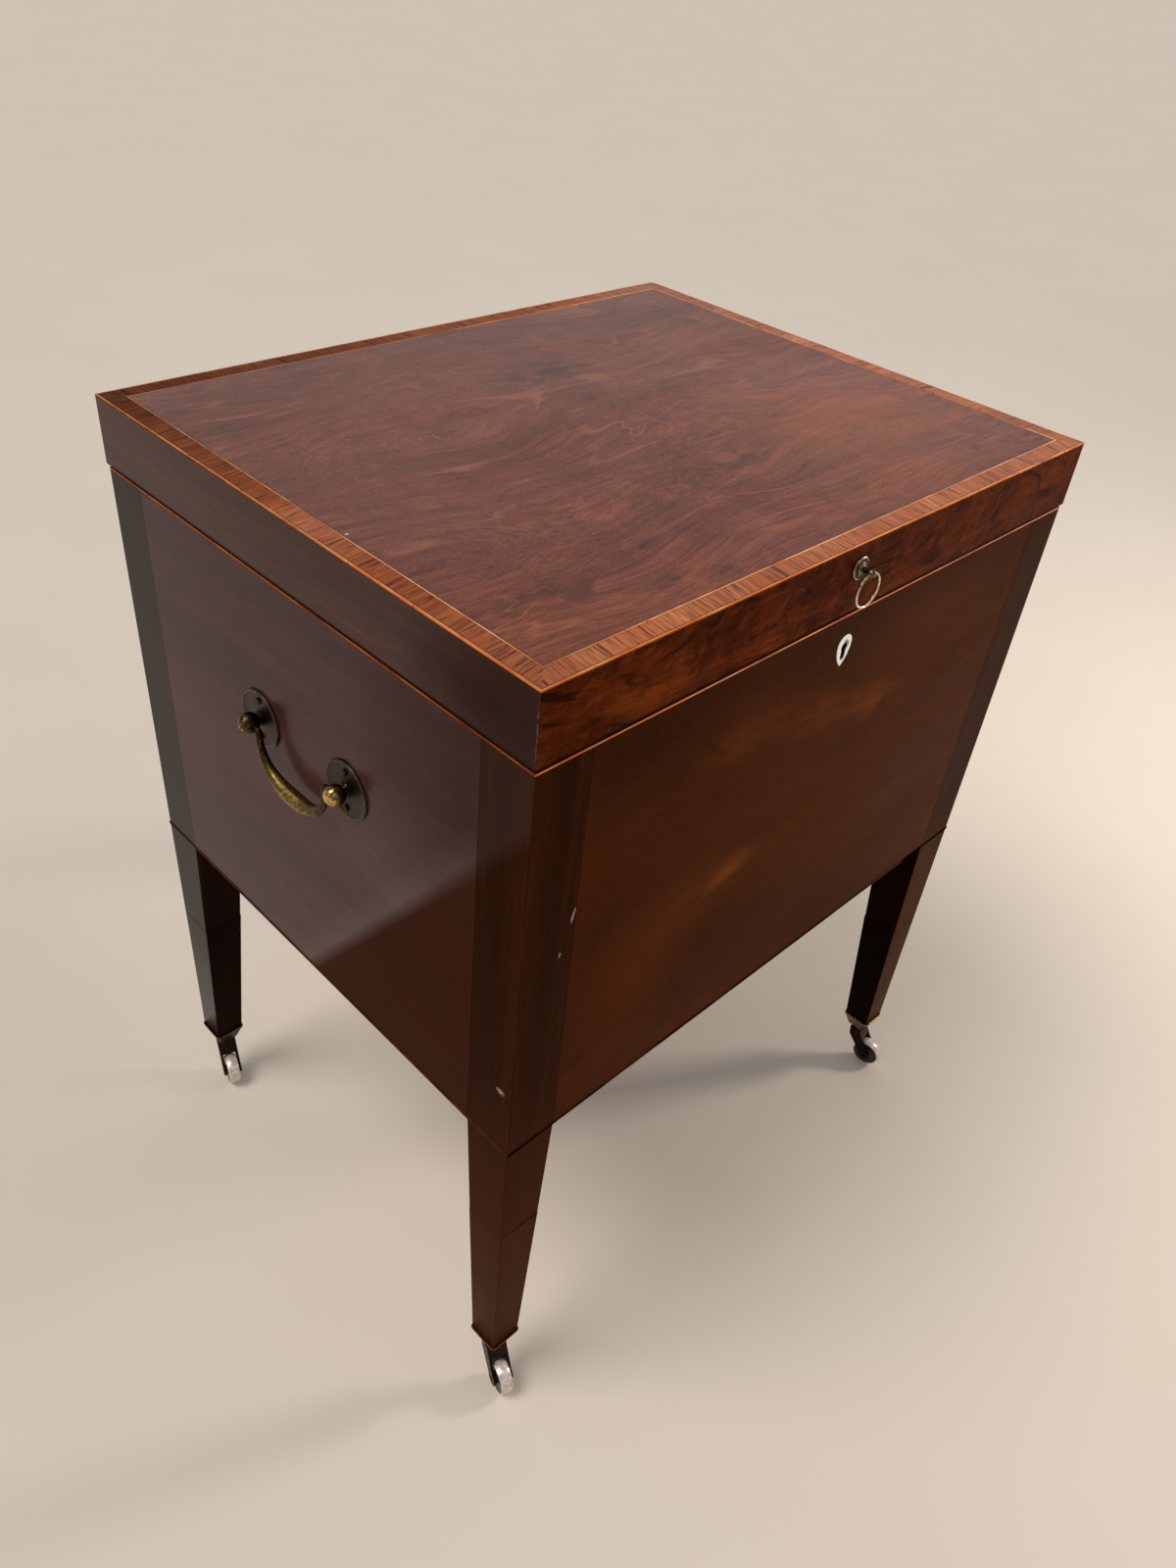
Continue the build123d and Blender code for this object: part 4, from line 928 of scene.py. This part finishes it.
def bail_grid(side):
    """Half of |y|^2.4 + |z|^2.4 = 1, stretched to the bail's size, between two pins. It swells
    towards the grip with (1 - y^2)^1.3."""
    low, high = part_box("left_bail" if side < 0 else "right_bail")
    x = (low.x + high.x) / 2
    angle = np.linspace(-np.pi / 2, np.pi / 2, 81)
    power = 2 / 2.4
    y = handle_y + np.sign(angle) * bail_half * abs(np.sin(angle)) ** power
    z = handle_z - bail_drop * abs(np.cos(angle)) ** power
    pin_y = np.array([low.y, high.y])
    y = np.concatenate([pin_y[:1], y, pin_y[1:]])
    z = np.concatenate([[handle_z], z, [handle_z]])
    line = even_line(np.stack([x + 0 * y, y, z], axis=1), 0.6 * MM, 2.4 * MM)
    share = abs(line[:, 1] - handle_y) / bail_half
    swell = np.clip(1 - share ** 2, 0, 1) ** 1.3
    radius = np.where(share > 1.02, pin_r, arm_r) + (grip_r - arm_r) * swell
    radius[[0, -1]] = 0
    return swept(line, radius, 0.08 + 0.4 * swell, (1, 0, 0))


for name, side in (("left", -1), ("right", 1)):
    grid_piece(name + "_bail_cast", name + "_bail", bail_brass, bail_grid(side))

# %% [markdown]
# The lid is lifted by a small ring in a turned post. The ring is thin wire that hangs against
# the wood, and a century of fingertips has left it pale.

# %% Ring pull
post_low, post_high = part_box("ring_pull_post")
ring_low, ring_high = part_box("ring_pull_ring")
pull_x = (post_low.x + post_high.x) / 2
pull_z = (post_low.z + post_high.z) / 2
lid_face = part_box("lid_front_rail")[0].y
ring_wire_r = (ring_high.y - ring_low.y) / 2
ring_y = (ring_high.y + ring_low.y) / 2
ring_z = (ring_high.z + ring_low.z) / 2
ring_r = (ring_high.x - ring_low.x) / 2 - ring_wire_r


def pull_profile():
    """Shank, dished rose, waisted neck and ball."""
    low = in_mm([(0, -10, 0), (1.5, -10, 0), (1.5, 0, 0), (7.5, 0, 0.2), (7.5, 0.8, 0.35),
                 (6.7, 1.5, 0.55), (5.9, 1.1, -0.1), (4.6, 1.3, 0.0), (3.4, 2.1, 0.35),
                 (2.4, 2.4, 0.35), (1.7, 3.4, 0.0), (1.5, 5.8, 0.0)], 0.3)
    return np.concatenate([low, arc(2.7 * MM, 8.4 * MM, -52, 90, 0.4)])


def ring_grid(steps=96):
    """A circle of wire. Its lower half, where fingers pull, is the brightest."""
    angle = np.linspace(0, 2 * np.pi, steps, endpoint=False)
    path = np.stack([pull_x + ring_r * np.sin(angle), ring_y + 0 * angle,
                     ring_z + ring_r * np.cos(angle)], axis=1)
    rub = 0.75 - 0.2 * np.cos(angle)
    return swept(path, np.full(steps, ring_wire_r), rub, (0, 1, 0), sides=16, closed=True)


post_grid = placed(turned(pull_profile(), 48), (pull_x, lid_face, pull_z), (0, -1, 0), (1, 0, 0))
grid_piece("ring_pull_post_turned", "ring_pull_post", pull_brass, post_grid)
grid_piece("ring_pull_ring_drawn", "ring_pull_ring", pull_brass, ring_grid(), closed=True)

# %% [markdown]
# Each leg ends in a square brass cup. Under it a horn swivels on a rivet and carries a solid
# wheel between two cheeks. The cup is a turned shape too, with a squarish way round: the
# formula that gives a circle at power 2 gives a square with soft corners at power 12.

# %% Castors
cup_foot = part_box("castor_cups")[0].z
leg_end = 24.4 * MM
wheel_r = 14 * MM
castor_trail = 16 * MM
castor_turn = {"front_left": -17.0, "front_right": 10.0, "back_left": -18.0, "back_right": 9.0}


def cup_profile(worn):
    """Foot, tapered wall, lip, and the inside down to the floor of the cup."""
    profile = in_mm([(0, 0, 0), (8.25, 0, 0.1), (13.35, 14.2, 0.1), (13.5, 14.2, 0.1),
                     (13.5, 16.0, 0.28), (12.3, 16.0, 0.2), (12.2, 14.0, 0), (7.1, 1.2, 0),
                     (0, 1.2, 0)], 0.4)
    return profile + (0, cup_foot, worn)


def wheel_profile():
    """Hub, dished side, and a tread crowned by half a cosine wave, then the other side."""
    side = np.array([(2.06, 5.5, 0), (4.3, 5.5, 0.15), (5.4, 4.3, 0), (10.2, 4.3, 0), (12.2, 5.0, 0.3)])
    share = np.linspace(1, -1, 13)
    crown = 12.5 + 1.5 * np.cos(share * np.pi / 2)
    tread = np.stack([crown, 5.1 * share, 1 + 0 * share], axis=1)
    return in_mm(np.concatenate([side, tread, side[::-1] * (1, -1, 1)]), 0.3, steps=3)


def axle_profile():
    """A short pin with domed ends, riveted in the cheeks."""
    return in_mm([(0, -8.0, 0), (1.2, -8.0, 0), (2.0, -7.4, 0), (2.0, 7.4, 0), (1.2, 8.0, 0),
                  (0, 8.0, 0)], 0.3)


def stem_place(corner):
    """The middle of a leg's end, where the stem of the horn turns."""
    x, y = case_side - leg_end / 2, -case_front - leg_end / 2
    return x if "right" in corner else -x, y if "back" in corner else -y


def wheel_place(corner):
    """The wheel's middle, the way the axle runs, and the way the horn reaches."""
    turn = radians(castor_turn[corner])
    ahead = np.array([np.sin(turn), -np.cos(turn), 0])
    across = np.array([np.cos(turn), np.sin(turn), 0])
    return np.array([*stem_place(corner), wheel_r]) + castor_trail * ahead, across, ahead


cups = []
for corner in corner_names:
    cup = turned(cup_profile(0.3 if corner == "front_right" else 0.0), 128, square=12.0)
    cups.append(placed(cup, (*stem_place(corner), 0), (0, 0, 1), (1, 0, 0)))
    wheel = placed(turned(wheel_profile(), 80), *wheel_place(corner))
    grid_piece(f"castor_wheel_{corner}_turned", "castor_wheel_" + corner, castor_wheel, wheel,
               slot="castor_wheel")
    axle = placed(turned(axle_profile(), 32), *wheel_place(corner))
    grid_piece(f"castor_axle_{corner}_turned", "castor_axle_" + corner, castor_brass, axle)
    eased("castor_horn_" + corner, 0.35, castor_brass)
grid_piece("castor_cups_cast", "castor_cups", castor_brass, *cups)

# %% [markdown]
# The rest is plain metalwork, most of it hidden while the lid is shut: two stop hinges, the
# lock with its bolt, the link plate in the lid that the bolt catches, and slotted screws.

# %% Hinges, lock and screws
for node in ("hinge_case_leaves", "hinge_lid_leaves", "lock_plate", "lock_link_plate",
             "lock_bolt", "lock_cap"):
    eased(node, 0.15, old_brass)
for node in ("hinge_pins", "lock_key_pin", "case_screws", "lid_screws", "handle_nuts"):
    eased(node, 0.1, iron)
eased("handle_rose_pins", 0.3, old_brass)
print("hardware: hinges, lock, screws and nuts")

# %% [markdown]
# The piece stands on a plain pale floor that reaches past the horizon, in soft light. A sun lamp
# with a very wide disc stands for a broad window, high on the left and a little behind. It gives
# the shape its light and shade. A small lamp on the right lights the front, and the pale world
# fills the rest.

# %% Floor and light
def floor_finish():
    """A pale, matt floor."""
    floor = Finish("floor")
    cloud = floor.noise(floor.where, 3.0, 4.0)
    floor.colour = floor.mix(cloud, (214, 201, 185), (220, 208, 193))
    return floor.done(0.8, Specular_IOR_Level=0.2)


floor_half = 30.0
floor_mesh = bpy.data.meshes.new("floor")
floor_corners = [(-1, -1), (1, -1), (1, 1), (-1, 1)]
floor_points = [(x * floor_half, y * floor_half, 0) for x, y in floor_corners]
floor_mesh.from_pydata(floor_points, [], [(0, 1, 2, 3)])
floor_mesh.materials.append(floor_finish())
linked("floor", floor_mesh)


def lamp(kind, name, place, ahead, power, colour):
    """A lamp of one of Blender's kinds, which shines ahead from a place. Gives its settings."""
    light = bpy.data.lights.new(name, kind)
    light.energy = power
    light.color = colour
    lit = linked(name, light)
    lit.location = place
    lit.rotation_euler = Vector(ahead).to_track_quat("-Z", "Y").to_euler()
    return light


window = lamp("SUN", "window", (0, 0, 0), (1.0, -0.45, -1.9), 1.5, (1.0, 0.97, 0.93))
window.angle = radians(28)
side_place = Vector((1.6, -0.95, 1.05))
side_lamp = lamp("AREA", "side_lamp", side_place, Vector((0, 0, 0.5)) - side_place, 15, (1.0, 0.93, 0.84))
side_lamp.size = 0.3
world = bpy.data.worlds.new("studio")
world.use_nodes = True
background = world.node_tree.nodes["Background"]
background.inputs["Color"].default_value = (0.95, 0.96, 1.0, 1.0)
background.inputs["Strength"].default_value = 0.5
bpy.context.scene.world = world
bpy.context.scene.view_settings.view_transform = "Standard"
print("studio: floor, window, side lamp and a pale world")
